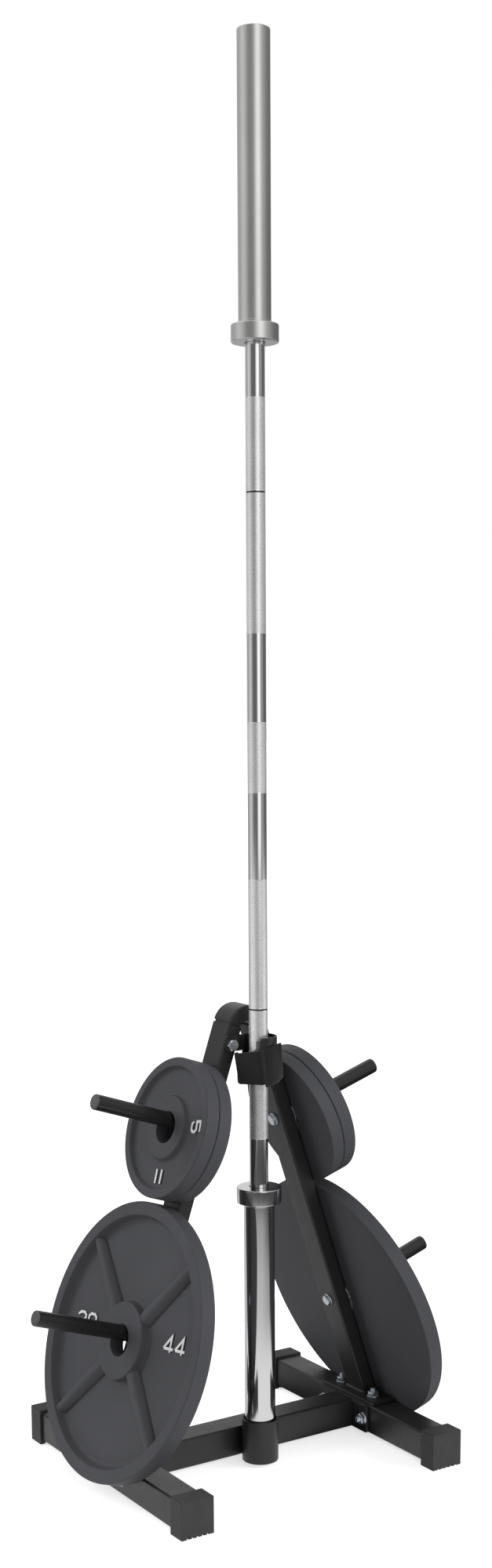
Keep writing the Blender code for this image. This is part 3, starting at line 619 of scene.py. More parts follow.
FOOT_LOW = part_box("foot_tube_left")[0].z
BEAM_HEIGHT = FOOT_LOW + TUBE / 2
NUT_SEAT = BASE_TOP + TOUCH
STUD_END = NUT_SEAT + NUT + STUD_TIP
for side, sign in SIDES.items():
    foot_low, foot_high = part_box(f"foot_tube_{side}")
    foot_x = (foot_low.x + foot_high.x) / 2
    for end, way in (("front", -1), ("rear", 1)):
        place = at(foot_x, way * BASE_BOLT_OFFSET, 0)
        under = FOOT_LOW - TOUCH
        dome = [(radius, FOOT_LOW - drop) for radius, drop in DOME]
        dome += [(WASHER_FACE_RADIUS, under, 0.0004), (BOLT_RADIUS, under)]
        bolt = turned(dome + thread(BOLT_RADIUS, NUT_SEAT, STUD_END) + [(0, STUD_END)], 32)
        fit_one("base_bolt", end, side, bolt, ZINC, place)
        fit_one("base_nut", end, side, nut(), ZINC, place @ at(0, 0, NUT_SEAT))
        y = way * FLANGE_BOLT_OFFSET
        head_x = TUBE / 2 + TOUCH
        nut_x = TUBE / 2 + 2 * TOUCH + FLANGE
        outward = along((sign, 0, 0), (foot_x + sign * head_x, y, BEAM_HEIGHT))
        inward = along((-sign, 0, 0), (foot_x - sign * nut_x, y, BEAM_HEIGHT))
        shank = stud(-head_x - nut_x, NUT + STUD_TIP)
        placed(shank.verts, inward)
        head = hex_head(WASHER_FACE_RADIUS)
        placed(head.verts, outward)
        fit_one("flange_bolt", end, side, joined(shank, head), ZINC, Matrix())
        fit_one("flange_nut", end, side, nut(), ZINC, inward)
    for level in STATIONS:
        place = post_place(side, level) @ along((0, 0, -1), (0, 0, -UPRIGHT_DEPTH - TOUCH))
        fit_one("post_bolt", level, side, plain_bolt(POST_BOLT, WASHER_FACE_RADIUS), ZINC, place)


# The weight plates are iron castings for a 50 mm bar, with a raised lip and hub on the outer face and a
# flat back, in a fine rough dark grey paint. The 20 kg plates also have four ribs. Raised numbers on them
# are picked out in white; the words round them are left out, and their place is plain dish.
BIG = {"radius": BIG_RADIUS, "thick": 0.0265, "lip": 0.022, "dish": 0.015, "hub": 0.062, "draft": 0.0065}
SMALL = {"radius": SMALL_RADIUS, "thick": 0.024, "lip": 0.0145, "dish": 0.0085, "hub": 0.051,
         "draft": 0.004}
DRAFT_FILLET = 0.85
HUB_DROP = 0.001
HUB_FOOT = 0.0035
RIB_WIDTH = 0.010
RIB_FOOT = 0.004
RIB_FLARE = [(0.0, 1.3), (0.10, 0.8), (0.25, 0.45), (0.55, 0.15)]
RIB_SINK = 0.002
RIB_OVERLAP = 0.004
RIB_DROP = 0.003
RIB_ROUND = 0.0038
RIB_TURN = 49
PAIR_GAP = 0.0005
STROKE = 0.0046
STROKE_STEP = 0.00005
NUMBER_RISE = 0.0022
NUMBER_SINK = 0.001


def cast_paint(place):
    patches = place.grain(9, 3)
    grit = place.grain(520, 4)
    return {"Base Color": patches.tint((0.051, 0.052, 0.058), (0.068, 0.069, 0.077)),
            "Roughness": 0.50 + 0.18 * grit,
            "Normal": grit.relief(0.35, 0.0005)}


def white_paint(place):
    return {"Base Color": place.grain(90, 3).tint((0.62, 0.62, 0.62), (0.74, 0.74, 0.74)),
            "Roughness": 0.45 + 0.2 * place.grain(300)}


IRON = new_finish("cast_paint", "cast_iron_paint", cast_paint, **{"Specular IOR Level": 0.3})
WHITE = new_finish("number_paint", "cast_iron_paint", white_paint)


def plate_section(size):
    """From the bore along the flat back, round the rim, over lip, dish and hub, and back to the bore."""
    radius, thick = size["radius"], size["thick"]
    dish, wall = thick - size["dish"], radius - size["lip"]
    hub, top, draft = size["hub"], thick - HUB_DROP, size["draft"]
    return [(BORE_RADIUS, 0, 0.001), (radius, 0, 0.002), (radius, thick, 0.0026), (wall, thick, 0.0016),
            (wall - draft, dish, DRAFT_FILLET * draft), (hub + HUB_FOOT, dish, HUB_FOOT),
            (hub, top, 0.0022), (BORE_RADIUS, top, 0.0012)]


def rib(size):
    """One rib with a round top and a spread foot, from under the hub to inside the lip, along +X."""
    start, end = size["hub"] - RIB_OVERLAP, size["radius"] - size["lip"] + RIB_OVERLAP
    floor, top = size["thick"] - size["dish"] - RIB_SINK, size["thick"] - RIB_DROP
    bm = bmesh.new()
    box = Matrix.Diagonal((end - start, RIB_WIDTH, top - floor, 1))
    bmesh.ops.create_cube(bm, size=1, matrix=at((start + end) / 2, 0, (floor + top) / 2) @ box)
    for share, flare in RIB_FLARE:
        level = floor + share * (top - floor)
        bmesh.ops.bisect_plane(bm, geom=everything(bm), plane_co=(0, 0, level), plane_no=(0, 0, 1))
        for vert in bm.verts:
            if abs(vert.co.z - level) < 1e-6:
                vert.co.y += math.copysign(flare * RIB_FOOT, vert.co.y)
    for vert in bm.verts:
        vert.co.y *= 1.25 - 0.35 * (vert.co.x - start) / (end - start)
    ridge = [edge for edge in bm.edges if all(vert.co.z > top - 1e-6 for vert in edge.verts)
             and edge.verts[0].co.y * edge.verts[1].co.y > 0]
    bmesh.ops.bevel(bm, geom=ridge, offset=RIB_ROUND, offset_type="OFFSET", segments=6, profile=0.5,
                    affect="EDGES", material=-1)
    bmesh.ops.recalc_face_normals(bm, faces=bm.faces)
    return bm


# Each digit's strokes, on a grid four wide and six high, with the corners cut off as in sign writing. A
# second stroke lies a hair above the first, because they cross.
DIGIT_HIGH = 6
DIGIT_WIDE = 4
ONE_WIDE = 2
DIGIT_GAP = 1.6
DIGITS = {
    "0": [[(0, 1), (0, 5), (1, 6), (3, 6), (4, 5), (4, 1), (3, 0), (1, 0), (0, 1)]],
    "1": [[(2, 0), (2, 6)]],
    "2": [[(0, 4.6), (0, 5), (1, 6), (3, 6), (4, 5), (4, 3.8), (0, 1), (0, 0), (4, 0)]],
    "4": [[(3, 0), (3, 6), (0, 1.6), (0, 1.3)], [(0, 1.3), (4.2, 1.3)]],
    "5": [[(4, 6), (0, 6), (0, 3.5), (3, 3.5), (4, 2.6), (4, 1), (3, 0), (1, 0), (0, 1)]],
}


def number(text, height, spread, middle, turn, floor):
    """Raised digits on a plate's dish: the middle is to the right and up as the plate's face is read."""
    unit = height / DIGIT_HIGH
    widths = [ONE_WIDE if digit == "1" else DIGIT_WIDE for digit in text]
    left = (DIGIT_GAP - sum(width + DIGIT_GAP for width in widths)) / 2
    bm = bmesh.new()
    for digit, width in zip(text, widths):
        start = left - (DIGIT_WIDE - width) / 2
        for count, stroke in enumerate(DIGITS[digit]):
            closed = stroke[0] == stroke[-1]
            points = stroke[:-1] if closed else stroke
            verts = []
            for x, y in points:
                spot = (x + start) * unit * spread, (y - DIGIT_HIGH / 2) * unit, STROKE_STEP * count
                verts.append(bm.verts.new(spot))
            for pair in list(zip(verts, verts[1:])) + ([(verts[-1], verts[0])] if closed else []):
                bm.edges.new(pair)
        left += width + DIGIT_GAP
    grown = bmesh.ops.extrude_edge_only(bm, edges=bm.edges[:])
    bmesh.ops.translate(bm, vec=(0, 0, NUMBER_RISE + NUMBER_SINK), verts=grown_verts(grown))
    placed(bm.verts, rotation(90, "Z") @ at(*middle, floor - NUMBER_SINK) @ rotation(turn, "Z"))
    return bm


# The numbers on each plate: the text, its height, how far it is spread, its middle and its turn in
# degrees
BIG_NUMBERS = [("20", 0.0245, 1.42, (-0.1285, 0.000), 8), ("44", 0.0245, 1.42, (0.137, 0.031), 8)]
SMALL_NUMBERS = [("5", 0.023, 1.05, (0.077, 0.016), -78), ("11", 0.023, 1.0, (0.010, -0.078), -173)]


def add_numbers(name, numbers, size, place, body):
    bm = joined(*(number(*each, size["thick"] - size["dish"]) for each in numbers))
    placed(bm.verts, place)
    made = fitted(name, bm, IRON, body, crisp=20)
    made.data.materials.append(WHITE)
    stroke = made.modifiers.new("stroke", "SOLIDIFY")
    stroke.thickness = STROKE
    stroke.offset = 0
    stroke.use_even_offset = True
    stroke.material_offset_rim = 1
    made.modifiers.move(len(made.modifiers) - 1, 0)
    return made


def disc_place(side, level, back):
    """A plate's own frame: z out of its face, its back so far from the upright, hung on its post."""
    return leaning(side) @ at(back, 0, STATIONS[level] - HANG) @ rotation(90, "Y")


for side in SIDES:
    place = disc_place(side, "lower", SEAT)
    ribs = []
    for count in range(4):
        made = rib(BIG)
        placed(made.verts, rotation(RIB_TURN + 90 * count, "Z"))
        ribs.append(made)
    disc = joined(turned(plate_section(BIG), 160, 4), *ribs)
    placed(disc.verts, place)
    fitted(f"20_kg_plate_{side}", disc, IRON, f"plate_20_{side}", [f"plate_20_{side}"], crisp=50)
    add_numbers(f"20_kg_plate_{side}_numbers", BIG_NUMBERS, BIG, place, f"plate_20_{side}")
    for kind, back in (("inner", SEAT), ("outer", SEAT + SMALL["thick"] + PAIR_GAP)):
        place = disc_place(side, "upper", back)
        disc = turned(plate_section(SMALL), 128, 4)
        placed(disc.verts, place)
        body = f"plate_5_{kind}_{side}"
        fitted(f"5_kg_plate_{kind}_{side}", disc, IRON, body, [body], crisp=50)
        add_numbers(f"5_kg_plate_{kind}_{side}_numbers", SMALL_NUMBERS, SMALL, place, body)


# A round steel cup is welded to the front of the beam, with a rubber disc on its floor. The bar's lower
# sleeve stands in it.
CUP_RADIUS = 0.030
CUP_WALL = 0.003
CUP_FLOOR = 0.005

low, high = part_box("bar_cup")
BAR_Y = (low.y + high.y) / 2
bore, floor = CUP_RADIUS - CUP_WALL, low.z + CUP_FLOOR
cup = turned([(0, floor), (bore, floor, 0.001), (bore, high.z, 0.0008),
              (CUP_RADIUS, high.z, 0.001), (CUP_RADIUS, low.z, 0.001), (0, low.z)], 72, 3)
placed(cup.verts, at(0, BAR_Y, 0))
fitted("cup", cup, BLACK_COAT, "rack", ["bar_cup"])
low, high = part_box("cup_pad")
pad = turned([(0, low.z), (high.x, low.z, 0.0008), (high.x, high.z, 0.0015), (0, high.z)], 48, 3)
placed(pad.verts, at(0, BAR_Y, 0))
fitted("cup_floor_pad", pad, CAP_RUBBER, "rack", ["cup_pad"])


# Near the top, a part ring of 3 mm steel on a flat bracket keeps the bar upright. The bracket is bolted
# to the front of the left upright, and a strip of grey rubber lines the ring.
HOOK_WALL = 0.003
HOOK_START = math.radians(-116)
HOOK_END = math.radians(118)
LINER = 0.0025
LINER_START = math.radians(-131)
LINER_END = math.radians(80)
BRACKET_THICKNESS = 0.0035
BRACKET_CORNER = 0.007
BRACKET_HEIGHT = 0.0265
BRACKET_RIGHT = -0.0100
BRACKET_EDGE = 0.0117
BRACKET_BOLT_DROP = 0.016
BRACKET_BOLT = 0.016


def part_ring(inner, outer, low, high, start, end, fillet):
    """A strip on edge, bent round the bar's axis."""
    bm = bmesh.new()
    corners = (inner, low), (outer, low), (outer, high), (inner, high)
    bm.faces.new([bm.verts.new((radius, 0, z)) for radius, z in corners])
    round_off(bm, bm.verts[:], fillet, 3)
    bmesh.ops.rotate(bm, verts=bm.verts, cent=(0, 0, 0), matrix=Matrix.Rotation(start, 3, "Z"))
    swept(bm, everything(bm), end - start, 60)
    bmesh.ops.recalc_face_normals(bm, faces=bm.faces)
    bmesh.ops.translate(bm, vec=(0, BAR_Y, 0), verts=bm.verts)
    return bm


def soft_rubber(place):
    return {"Base Color": place.grain(90, 3).tint((0.095, 0.095, 0.093), (0.14, 0.14, 0.137)),
            "Roughness": 0.7 + 0.15 * place.grain(200),
            "Normal": place.grain(800).relief(0.2, 0.0003)}


LINER_RUBBER = new_finish("soft_rubber", "liner_rubber", soft_rubber)

low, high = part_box("bar_hook")
HOOK_TOP = high.z
front = -UPRIGHT_WIDTH / 2 - TOUCH
bolt_height = HOOK_TOP - BRACKET_BOLT_DROP
bolt_x = -(ROOT - bolt_height * math.tan(LEAN) - UPRIGHT_DEPTH / 2 / math.cos(LEAN))
ring = part_ring(CUP_RADIUS - HOOK_WALL, CUP_RADIUS, low.z, high.z, HOOK_START, HOOK_END, 0.0009)
left = bolt_x - BRACKET_EDGE
bracket = slab(BRACKET_RIGHT - left, BRACKET_HEIGHT, BRACKET_CORNER, BRACKET_THICKNESS)
bracket_place = at((left + BRACKET_RIGHT) / 2, front, HOOK_TOP - BRACKET_HEIGHT / 2) @ rotation(90, "X")
placed(bracket.verts, bracket_place)
fitted("hook_ring", ring, POST_COAT, "rack", ["bar_hook"])
fitted("hook_bracket", bracket, POST_COAT, "rack", ["bar_hook"], eased=0.0006)
low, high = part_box("hook_liner")
rim = CUP_RADIUS - HOOK_WALL - TOUCH
liner = part_ring(rim - LINER, rim, low.z, high.z, LINER_START, LINER_END, 0.0007)
fitted("hook_liner_strip", liner, LINER_RUBBER, "rack", ["hook_liner"])
seat = front - BRACKET_THICKNESS - TOUCH
made = plain_bolt(BRACKET_BOLT, 0)
placed(made.verts, along((0, -1, 0), (bolt_x, seat, bolt_height)))
fitted("hook_bracket_bolt", made, ZINC, "rack", ["hook_bolt"])


# The strap is black hook-and-loop webbing. One layer is fixed round the hook, and the flap closes the
# hook's mouth and sticks to that layer, a little crooked, with one corner peeled up.
STRAP = 0.0022
STRAP_ROWS = 8
STRAP_SLACK = 0.0004
CREASE_SPOT = (-0.00864, 0.6434)
CREASE_SLOPE = 0.0969
CREASE_FRONT = (-0.082, -0.078)


def webbing(place):
    """Black pile, with a painted highlight along the crease where the flap bends round the ring's front."""
    nap = place.grain(1500, 3)
    worn = place.grain(60, 3)
    line_x, line_z = CREASE_SPOT
    aside = place.part("X") - line_x + CREASE_SLOPE * (place.part("Z") - line_z)
    crease = 1 - aside.maths("ABSOLUTE").rise(0.0006, 0.0030)
    # Painted highlight: the pile is coloured lighter in a thin line along the crease, on the flap's front
    # only.
    crease_highlight = crease * (1 - place.part("Y").rise(*CREASE_FRONT)) * (0.35 + 0.65 * nap)
    shade = nap * 0.42 + worn * 0.38 + crease_highlight * 5.0
    return {"Base Color": shade.tint((0.0032, 0.0027, 0.0030), (0.0150, 0.0130, 0.0145)),
            "Roughness": 0.72 + 0.25 * nap,
            "Normal": nap.relief(0.45, 0.0006)}


SHEEN = {"Sheen Weight": 0.15, "Sheen Roughness": 0.5}
STRAP_CLOTH = new_finish("webbing", "strap_cloth", webbing, **SHEEN)


def round_bar(turn, reach, height):
    """A point by its bearing round the bar in degrees, its distance from the bar and its height."""
    bearing = math.radians(turn)
    return Vector((reach * math.cos(bearing), BAR_Y + reach * math.sin(bearing), height))


def strap_edge(keys, pulls):
    """Points along one edge of the strap, from keys of (bearing round the bar, distance from it, height).
    Each pull says how the strap runs on to the next key: straight or round, and in how many steps."""
    points = []
    for (start, end), (straight, steps) in zip(zip(keys, keys[1:]), pulls):
        for share in (step / steps for step in range(steps)):
            if straight:
                points.append(round_bar(*start).lerp(round_bar(*end), share))
            else:
                points.append(round_bar(*(a + (b - a) * share for a, b in zip(start, end))))
    return points + [round_bar(*keys[-1])]


def strap_band(top_keys, bottom_keys, pulls):
    """The strap's inner face, drawn from its bottom edge to its top edge, with a little slack in it."""
    bm = bmesh.new()
    columns = []
    for high_spot, low_spot in zip(strap_edge(top_keys, pulls), strap_edge(bottom_keys, pulls)):
        columns.append([low_spot.lerp(high_spot, row / STRAP_ROWS) for row in range(STRAP_ROWS + 1)])
    rows = [bm.verts.new(spot) for spot in columns[0]]
    edges = [bm.edges.new(pair) for pair in zip(rows, rows[1:])]
    for column in columns[1:]:
        grown = bmesh.ops.extrude_edge_only(bm, edges=edges)
        fresh = sorted(grown_verts(grown), key=lambda vert: vert.co.z)
        edges = [item for item in grown["geom"] if isinstance(item, bmesh.types.BMEdge)
                 and all(vert in fresh for vert in item.verts)]
        for vert, spot in zip(fresh, column):
            vert.co = spot
    for vert in bm.verts:
        away = Vector((vert.co.x, vert.co.y - BAR_Y, 0)).normalized()
        vert.co += away * STRAP_SLACK * (noise.noise(vert.co * 70) + 1)
    bmesh.ops.recalc_face_normals(bm, faces=bm.faces)
    bar = Vector((0, BAR_Y))
    if sum(face.normal.xy.dot(face.calc_center_median().xy - bar) for face in bm.faces) < 0:
        bmesh.ops.reverse_faces(bm, faces=bm.faces)
    return bm


def cloth(name, bm, body, node):
    made = fitted(name, bm, STRAP_CLOTH, body, [node], crisp=60)
    soft = made.modifiers.new("soft", "SUBSURF")
    soft.levels = soft.render_levels = 2
    thick = made.modifiers.new("thickness", "SOLIDIFY")
    thick.thickness = STRAP
    thick.offset = 1
    for _ in (thick, soft):
        made.modifiers.move(len(made.modifiers) - 1, 0)
    return made


under = strap_band([(80, 0.0308, 0.6985), (-70, 0.0308, 0.6985), (-103, 0.0306, 0.6960)],
                   [(80, 0.0308, 0.6440), (-70, 0.0312, 0.6430), (-103, 0.0306, 0.6385)],
                   [(False, 40), (False, 8)])
cloth("strap_under_layer", under, "rack", "strap_fixed")
flap = strap_band(
    [(132, 0.0325, 0.6890), (143, 0.0352, 0.6888), (148, 0.0366, 0.6887), (153, 0.0346, 0.6890),
     (238, 0.0318, 0.6976), (246, 0.0322, 0.6987), (254, 0.0320, 0.6998), (290, 0.0326, 0.7050),
     (299, 0.0345, 0.7068), (304, 0.0385, 0.7085)],
    [(132, 0.0325, 0.6396), (141, 0.0300, 0.6392), (147, 0.0290, 0.6390), (154, 0.0275, 0.6390),
     (247, 0.0300, 0.6428), (256, 0.0335, 0.6434), (264, 0.0334, 0.6440), (290, 0.0340, 0.6460),
     (306, 0.0350, 0.6475), (322, 0.0372, 0.6492)],
    [(True, 3), (True, 2), (True, 2), (True, 9), (True, 2), (True, 2), (False, 5), (False, 3), (False, 3)])
cloth("strap_closing_flap", flap, "strap_flap", "strap_flap")


# The bar is 2.2 m of steel. The shaft is chromed and has three bands of diamond knurling, the outer ones
# parted by a ring mark: a groove painted near black as shade. Each sleeve turns on two bronze bushes and is
# kept on by a washer and a bolt in its end. The lower sleeve is polished, and the upper one is satin.
BAR_LENGTH = 2.200
GRIP = 1.310
SHAFT_RADIUS = 0.015
JOURNAL_RADIUS = 0.0127
SLEEVE_RADIUS = 0.025
SLEEVE_BORE = 0.0162
COLLAR_RADIUS = 0.0365
COLLAR = 0.0265
SHOULDER = 0.0005
SHOULDER_LENGTH = 0.004
END_RECESS = 0.011
END_WASHER_RADIUS = 0.0155
END_WASHER = 0.0020
KNURL_DEPTH = 0.00008
KNURL_CLEAR = 0.00003
KNURL_COLUMNS = 90
KNURL_START = 0.5755
KNURL_ENDS = (-0.157, 0.223)
CENTRE_KNURL = (-0.022, 0.088)
RING_MARKS = (-0.3645, 0.4355)
RING_HALF = 0.0012
RING_DEPTH = 0.0006
RING_SLOPE = 0.0003

low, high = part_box("bar_shaft")
BAR_MIDDLE = (low.z + high.z) / 2
HALF = BAR_LENGTH / 2


def chrome(place):
    """Polished steel, with faint drawing marks along the bar."""
    streaks = place.add("Mapping", {}, {"Vector": place, "Scale": (220, 220, 3)}).grain(4, 2)
    smears = place.grain(7, 3)
    return {"Base Color": smears.tint((0.70, 0.70, 0.71), (0.80, 0.80, 0.80)),
            "Roughness": 0.05 + 0.07 * streaks + 0.05 * smears,
            "Normal": streaks.relief(0.03, 0.0002)}


def satin(place):
    """Steel left as it was turned, with fine marks round the bar."""
    turning = place.add("Mapping", {}, {"Vector": place, "Scale": (4, 4, 900)}).grain(2, 3)
    smears = place.grain(6, 3)
    return {"Base Color": smears.tint((0.66, 0.66, 0.65), (0.78, 0.78, 0.77)),
            "Roughness": 0.28 + 0.16 * turning,
            "Normal": turning.relief(0.22, 0.0003)}


CHROME = new_finish("chrome", "bright_steel", chrome, Metallic=1.0)
SATIN = new_finish("satin", "bright_steel", satin, Metallic=1.0)


def knurl(low, high):
    """A band of diamond points cut into the shaft between two heights."""
    across = math.tau * SHAFT_RADIUS / KNURL_COLUMNS
    rows = 2 * round((high - low) / across / 2)
    bm = bmesh.new()
    step = (high - low) / rows
    line = [bm.verts.new((SHAFT_RADIUS, 0, low + row * step)) for row in range(rows + 1)]
    for pair in zip(line, line[1:]):
        bm.edges.new(pair)
    swept(bm, bm.verts[:] + bm.edges[:], math.tau, KNURL_COLUMNS)
    for vert in bm.verts:
        column = round(math.atan2(vert.co.y, vert.co.x) / math.tau * KNURL_COLUMNS)
        row = round((vert.co.z - low) / step)
        if (column + row) % 2 and 0 < row < rows:
            vert.co.xy *= 1 - KNURL_DEPTH / SHAFT_RADIUS
    bmesh.ops.recalc_face_normals(bm, faces=bm.faces)
    bmesh.ops.triangulate(bm, faces=bm.faces[:], quad_method="SHORT_EDGE")
    return bm


def shaft_section():
    """The shaft's section from its lower end to its upper end, with a groove at each ring mark."""
    end = HALF - END_RECESS
    corners = [(0, -end), (JOURNAL_RADIUS, -end), (JOURNAL_RADIUS, -GRIP / 2), (SHAFT_RADIUS, -GRIP / 2)]
    groove, flat = SHAFT_RADIUS - RING_DEPTH, RING_HALF - RING_SLOPE
    for mark in RING_MARKS:
        corners += [(SHAFT_RADIUS, mark - RING_HALF), (groove, mark - flat), (groove, mark + flat),
                    (SHAFT_RADIUS, mark + RING_HALF)]
    return corners + [(SHAFT_RADIUS, GRIP / 2), (JOURNAL_RADIUS, GRIP / 2), (JOURNAL_RADIUS, end), (0, end)]


BAR_PLACE = at(0, BAR_Y, BAR_MIDDLE)
shaft = turned(shaft_section(), 90)
lower_mark, upper_mark = RING_MARKS
bands = [(-KNURL_START, lower_mark - RING_HALF), (lower_mark + RING_HALF, KNURL_ENDS[0]), CENTRE_KNURL,
         (KNURL_ENDS[1], upper_mark - RING_HALF), (upper_mark + RING_HALF, KNURL_START)]
# The sunk faces of the ring marks get the second finish, which paints shade into the grooves.
for face in shaft.faces:
    spot = face.calc_center_median()
    sunk = spot.xy.length < SHAFT_RADIUS - RING_DEPTH / 4
    face.material_index = int(sunk and abs(spot.z) < KNURL_START)
placed(shaft.verts, BAR_PLACE)
made = fitted("shaft", shaft, CHROME, "bar", ["bar_shaft"], crisp=30)


def knurled_steel(place):
    return {"Base Color": place.grain(30, 3).tint((0.78, 0.78, 0.78), (0.90, 0.90, 0.90)),
            "Roughness": 0.20 + 0.12 * place.grain(400)}


# Painted shade: the floors of the ring marks' grooves are coloured near black, as the shade in them.
def painted_groove_shade(place):
    return {"Base Color": place.grain(200).tint((0.010, 0.010, 0.010), (0.030, 0.030, 0.030)),
            "Roughness": 0.55 + 0.2 * place.grain(300)}


KNURLED = new_finish("knurled", "bright_steel", knurled_steel, Metallic=0.75)
made.data.materials.append(new_finish("groove_painted_shade", "bright_steel", painted_groove_shade))
for count, (low_end, high_end) in enumerate(bands):
    band = knurl(low_end, high_end)
    for vert in band.verts:
        vert.co.xy *= 1 + (KNURL_DEPTH + KNURL_CLEAR) / SHAFT_RADIUS
    placed(band.verts, BAR_PLACE)
    fitted(f"knurl_band_{count + 1}", band, KNURLED, "bar", crisp=12)

collar_low = GRIP / 2 + TOUCH
collar_top = collar_low + COLLAR
shoulder, shoulder_top = SLEEVE_RADIUS + SHOULDER, collar_top + SHOULDER_LENGTH
washer_low = HALF - END_RECESS + TOUCH
washer_top = washer_low + END_WASHER
for end, half_turn, finish in (("upper", 0, SATIN), ("lower", 180, CHROME)):
    place = BAR_PLACE @ rotation(half_turn, "X")
    sleeve = turned([(SLEEVE_BORE, collar_low), (COLLAR_RADIUS, collar_low, 0.002),
                     (COLLAR_RADIUS, collar_top, 0.002),
                     (shoulder, collar_top, 0.0008), (shoulder, shoulder_top),
                     (SLEEVE_RADIUS, shoulder_top + SHOULDER), (SLEEVE_RADIUS, HALF, 0.0015),
                     (SLEEVE_BORE, HALF, 0.0006)], 96, 4)
    placed(sleeve.verts, place)
    fitted(f"{end}_sleeve", sleeve, finish, f"sleeve_{end}", [f"sleeve_{end}"])
    washer = turned([(0, washer_low), (END_WASHER_RADIUS, washer_low, 0.0004),
                     (END_WASHER_RADIUS, washer_top, 0.0006), (0, washer_top)], 48, 3)
    head = hex_head(0)
    placed(head.verts, at(0, 0, washer_top))
    made = joined(washer, head)
    placed(made.verts, place)
    fitted(f"{end}_end_bolt", made, ZINC, "bar", [f"end_bolt_{end}"])


def bronze(place):
    return {"Base Color": place.grain(80, 3).tint((0.46, 0.28, 0.12), (0.62, 0.41, 0.19)),
            "Roughness": 0.30 + 0.15 * place.grain(500)}


BRONZE = new_finish("bronze", "bush_bronze", bronze, Metallic=1.0)
for name, node in frame["nodes"].items():
    if name.startswith("bush_"):
        for slot in node.material_slots:
            slot.material = BRONZE


# The studio is a white floor that runs out of sight under a white sky, with three soft lamps. What
# polished steel mirrors of the sky and the floor is a dark room with soft screens instead. The camera is
# the one fitted to the photo.

# A screen is its bearing from the camera, half its width and its soft edge, in degrees, and its
# brightness. A ring of the floor is the two distances between which it gives way to the ring outside it,
# its gloom and its screens.
CAMERA_BEARING = -123.4
ROOM_GLOOM = 0.15
ROOM_SCREENS = [(28, 18, 12, 1.15), (68, 14, 12, 0.22), (-72, 22, 10, 0.36), (-125, 50, 20, 0.30),
                (180, 20, 14, 0.50)]
HIGH_GLOW = 0.25
HIGH_SKY = (0.31, 0.40)
FLOOR_SCREENS = [
    (9.00, 14.0, 0.36, [(-62, 36, 14, 0.48), (84, 18, 8, 0.48), (-160, 20, 10, 0.30)]),
    (5.50, 7.00, 0.22, [(-60, 38, 14, 0.85), (84, 18, 8, 0.95), (-160, 20, 10, 0.40)]),
    (2.45, 2.65, 0.02, [(5, 85, 35, 0.05), (-155, 34, 8, 0.50), (114, 6, 5, 0.50)]),
    (1.62, 1.80, 0.02, [(15, 56, 10, 0.17), (4, 38, 24, 0.26), (-150, 32, 8, 0.60)]),
    (0.95, 1.60, 0.02, [(15, 63, 8, 0.42), (0, 40, 30, 0.18), (-145, 38, 8, 0.62)]),
    (0.50, 0.95, 0.02, [(22, 80, 8, 0.88), (-140, 44, 8, 0.62), (-78, 24, 8, 0.80)]),
    (0.26, 0.30, 0.015, [(22, 80, 8, 0.88), (-140, 44, 8, 0.62)]),
]
CAMERA_PLACE = (-1.6591, -2.5703, 1.2334)
CAMERA_TURN = math.radians(-33.0428)
CAMERA_PITCH = math.radians(-9.0064)
CAMERA_ROLL = math.radians(-0.3401)
LENS = 43.855
SHIFT = 0.1452
FLOOR_REACH = 60.0
FLOOR_SHADE = 0.80
FLOOR_LIFT = 0.65
AMBIENT = 0.40
LAMP_SPREAD = math.radians(40)
LAMPS = {"rear_screen": ((-0.66, 0.66, 0.37), 1.9), "side_screen": ((0.66, -0.66, 0.37), 1.7),
         "front_screen": ((0.0, -0.93, 0.37), 0.7)}


def glow(direction, screens, gloom, overhead=0.0):
    """What polished steel sees in a direction: gloom, soft screens and what glows overhead."""
    turn = direction.part("Y").maths("ARCTAN2", direction.part("X")) * math.degrees(1)
    bearing = (turn - CAMERA_BEARING).maths("WRAP", 180, -180)
    light = overhead + gloom
    for centre, half, edge, bright in screens:
        away = (bearing - centre).maths("WRAP", 180, -180).maths("ABSOLUTE")
        light = light + bright * (1 - away.rise(half - edge, half + edge))
    return light


def light_path(tree):
    """Whether a ray comes from the camera, and whether it comes from something polished."""
    path = tree.nodes.new("ShaderNodeLightPath")
    return Wire(tree, path.outputs["Is Camera Ray"]), Wire(tree, path.outputs["Is Glossy Ray"])


world = bpy.data.worlds.new("studio")
bpy.context.scene.world = world
world.use_nodes = True
tree = world.node_tree
sky = Wire(tree, tree.nodes.new("ShaderNodeTexCoord").outputs["Generated"])
seen, mirrored = light_path(tree)
room = glow(sky, ROOM_SCREENS, ROOM_GLOOM, sky.part("Z").rise(*HIGH_SKY) * HIGH_GLOW)
level = seen + (1 - seen) * (mirrored * room + (1 - mirrored) * AMBIENT)
tree.links.new(level.socket, tree.nodes["Background"].inputs["Strength"])
tree.nodes["Background"].inputs["Color"].default_value = (1, 1, 1, 1)

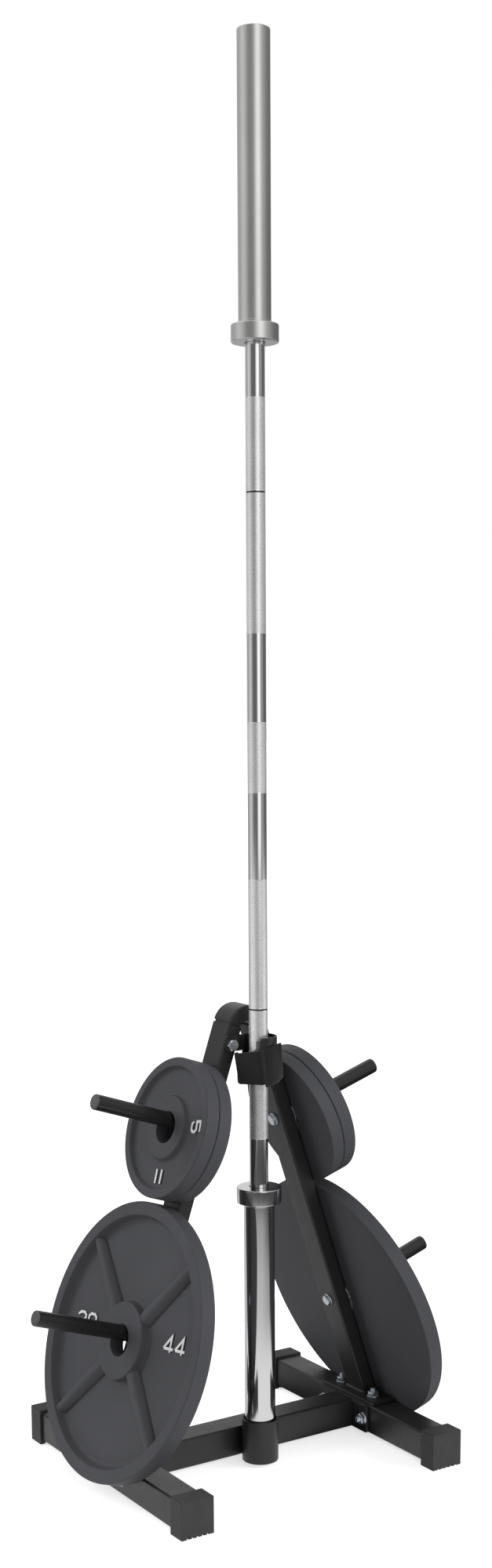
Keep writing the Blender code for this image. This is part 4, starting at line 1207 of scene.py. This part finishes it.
bm = bmesh.new()
bmesh.ops.create_grid(bm, x_segments=1, y_segments=1, size=FLOOR_REACH)
floor = added("floor", mesh_of("floor", bm))
paper = bpy.data.materials.new("paper")
paper.use_nodes = True
floor.data.materials.append(paper)
tree = paper.node_tree
principled = tree.nodes["Principled BSDF"]
principled.inputs["Base Color"].default_value = (FLOOR_SHADE, FLOOR_SHADE, FLOOR_SHADE, 1)
principled.inputs["Roughness"].default_value = 1.0
principled.inputs["Specular IOR Level"].default_value = 0.0
principled.inputs["Emission Color"].default_value = (1, 1, 1, 1)
seen, mirrored = light_path(tree)
tree.links.new((seen * FLOOR_LIFT).socket, principled.inputs["Emission Strength"])
spot = Wire(tree, tree.nodes.new("ShaderNodeTexCoord").outputs["Object"])
reach = spot.add("VectorMath", {"operation": "LENGTH"}, {0: spot}, output=1)
room = glow(spot, ROOM_SCREENS, ROOM_GLOOM)
for start, end, gloom, screens in FLOOR_SCREENS:
    outside = reach.rise(start, end)
    room = outside * room + (1 - outside) * glow(spot, screens, gloom)
shown = spot.add("Emission", {}, {"Strength": room})
both = spot.add("MixShader", {}, {0: mirrored, 1: Wire(tree, principled.outputs[0]), 2: shown})
tree.links.new(both.socket, tree.nodes["Material Output"].inputs["Surface"])

for name, (towards, strength) in LAMPS.items():
    light = bpy.data.lights.new(name, "SUN")
    light.energy = strength
    light.angle = LAMP_SPREAD
    lamp = added(name, light)
    lamp.rotation_euler = Vector(towards).to_track_quat("Z", "Y").to_euler()
    lamp.visible_glossy = False

ahead = Vector((-math.sin(CAMERA_TURN), math.cos(CAMERA_TURN), 0)) * math.cos(CAMERA_PITCH)
ahead.z = math.sin(CAMERA_PITCH)
level_right = Vector((math.cos(CAMERA_TURN), math.sin(CAMERA_TURN), 0))
level_up = level_right.cross(ahead)
right = level_right * math.cos(CAMERA_ROLL) + level_up * math.sin(CAMERA_ROLL)
up = level_up * math.cos(CAMERA_ROLL) - level_right * math.sin(CAMERA_ROLL)
camera = added("camera", bpy.data.cameras.new("camera"))
camera.data.lens = LENS
camera.data.shift_y = SHIFT
camera.matrix_world = Matrix.Translation(CAMERA_PLACE) @ Matrix((right, up, -ahead)).transposed().to_4x4()
bpy.context.scene.camera = camera
bpy.context.scene.view_settings.view_transform = "Standard"
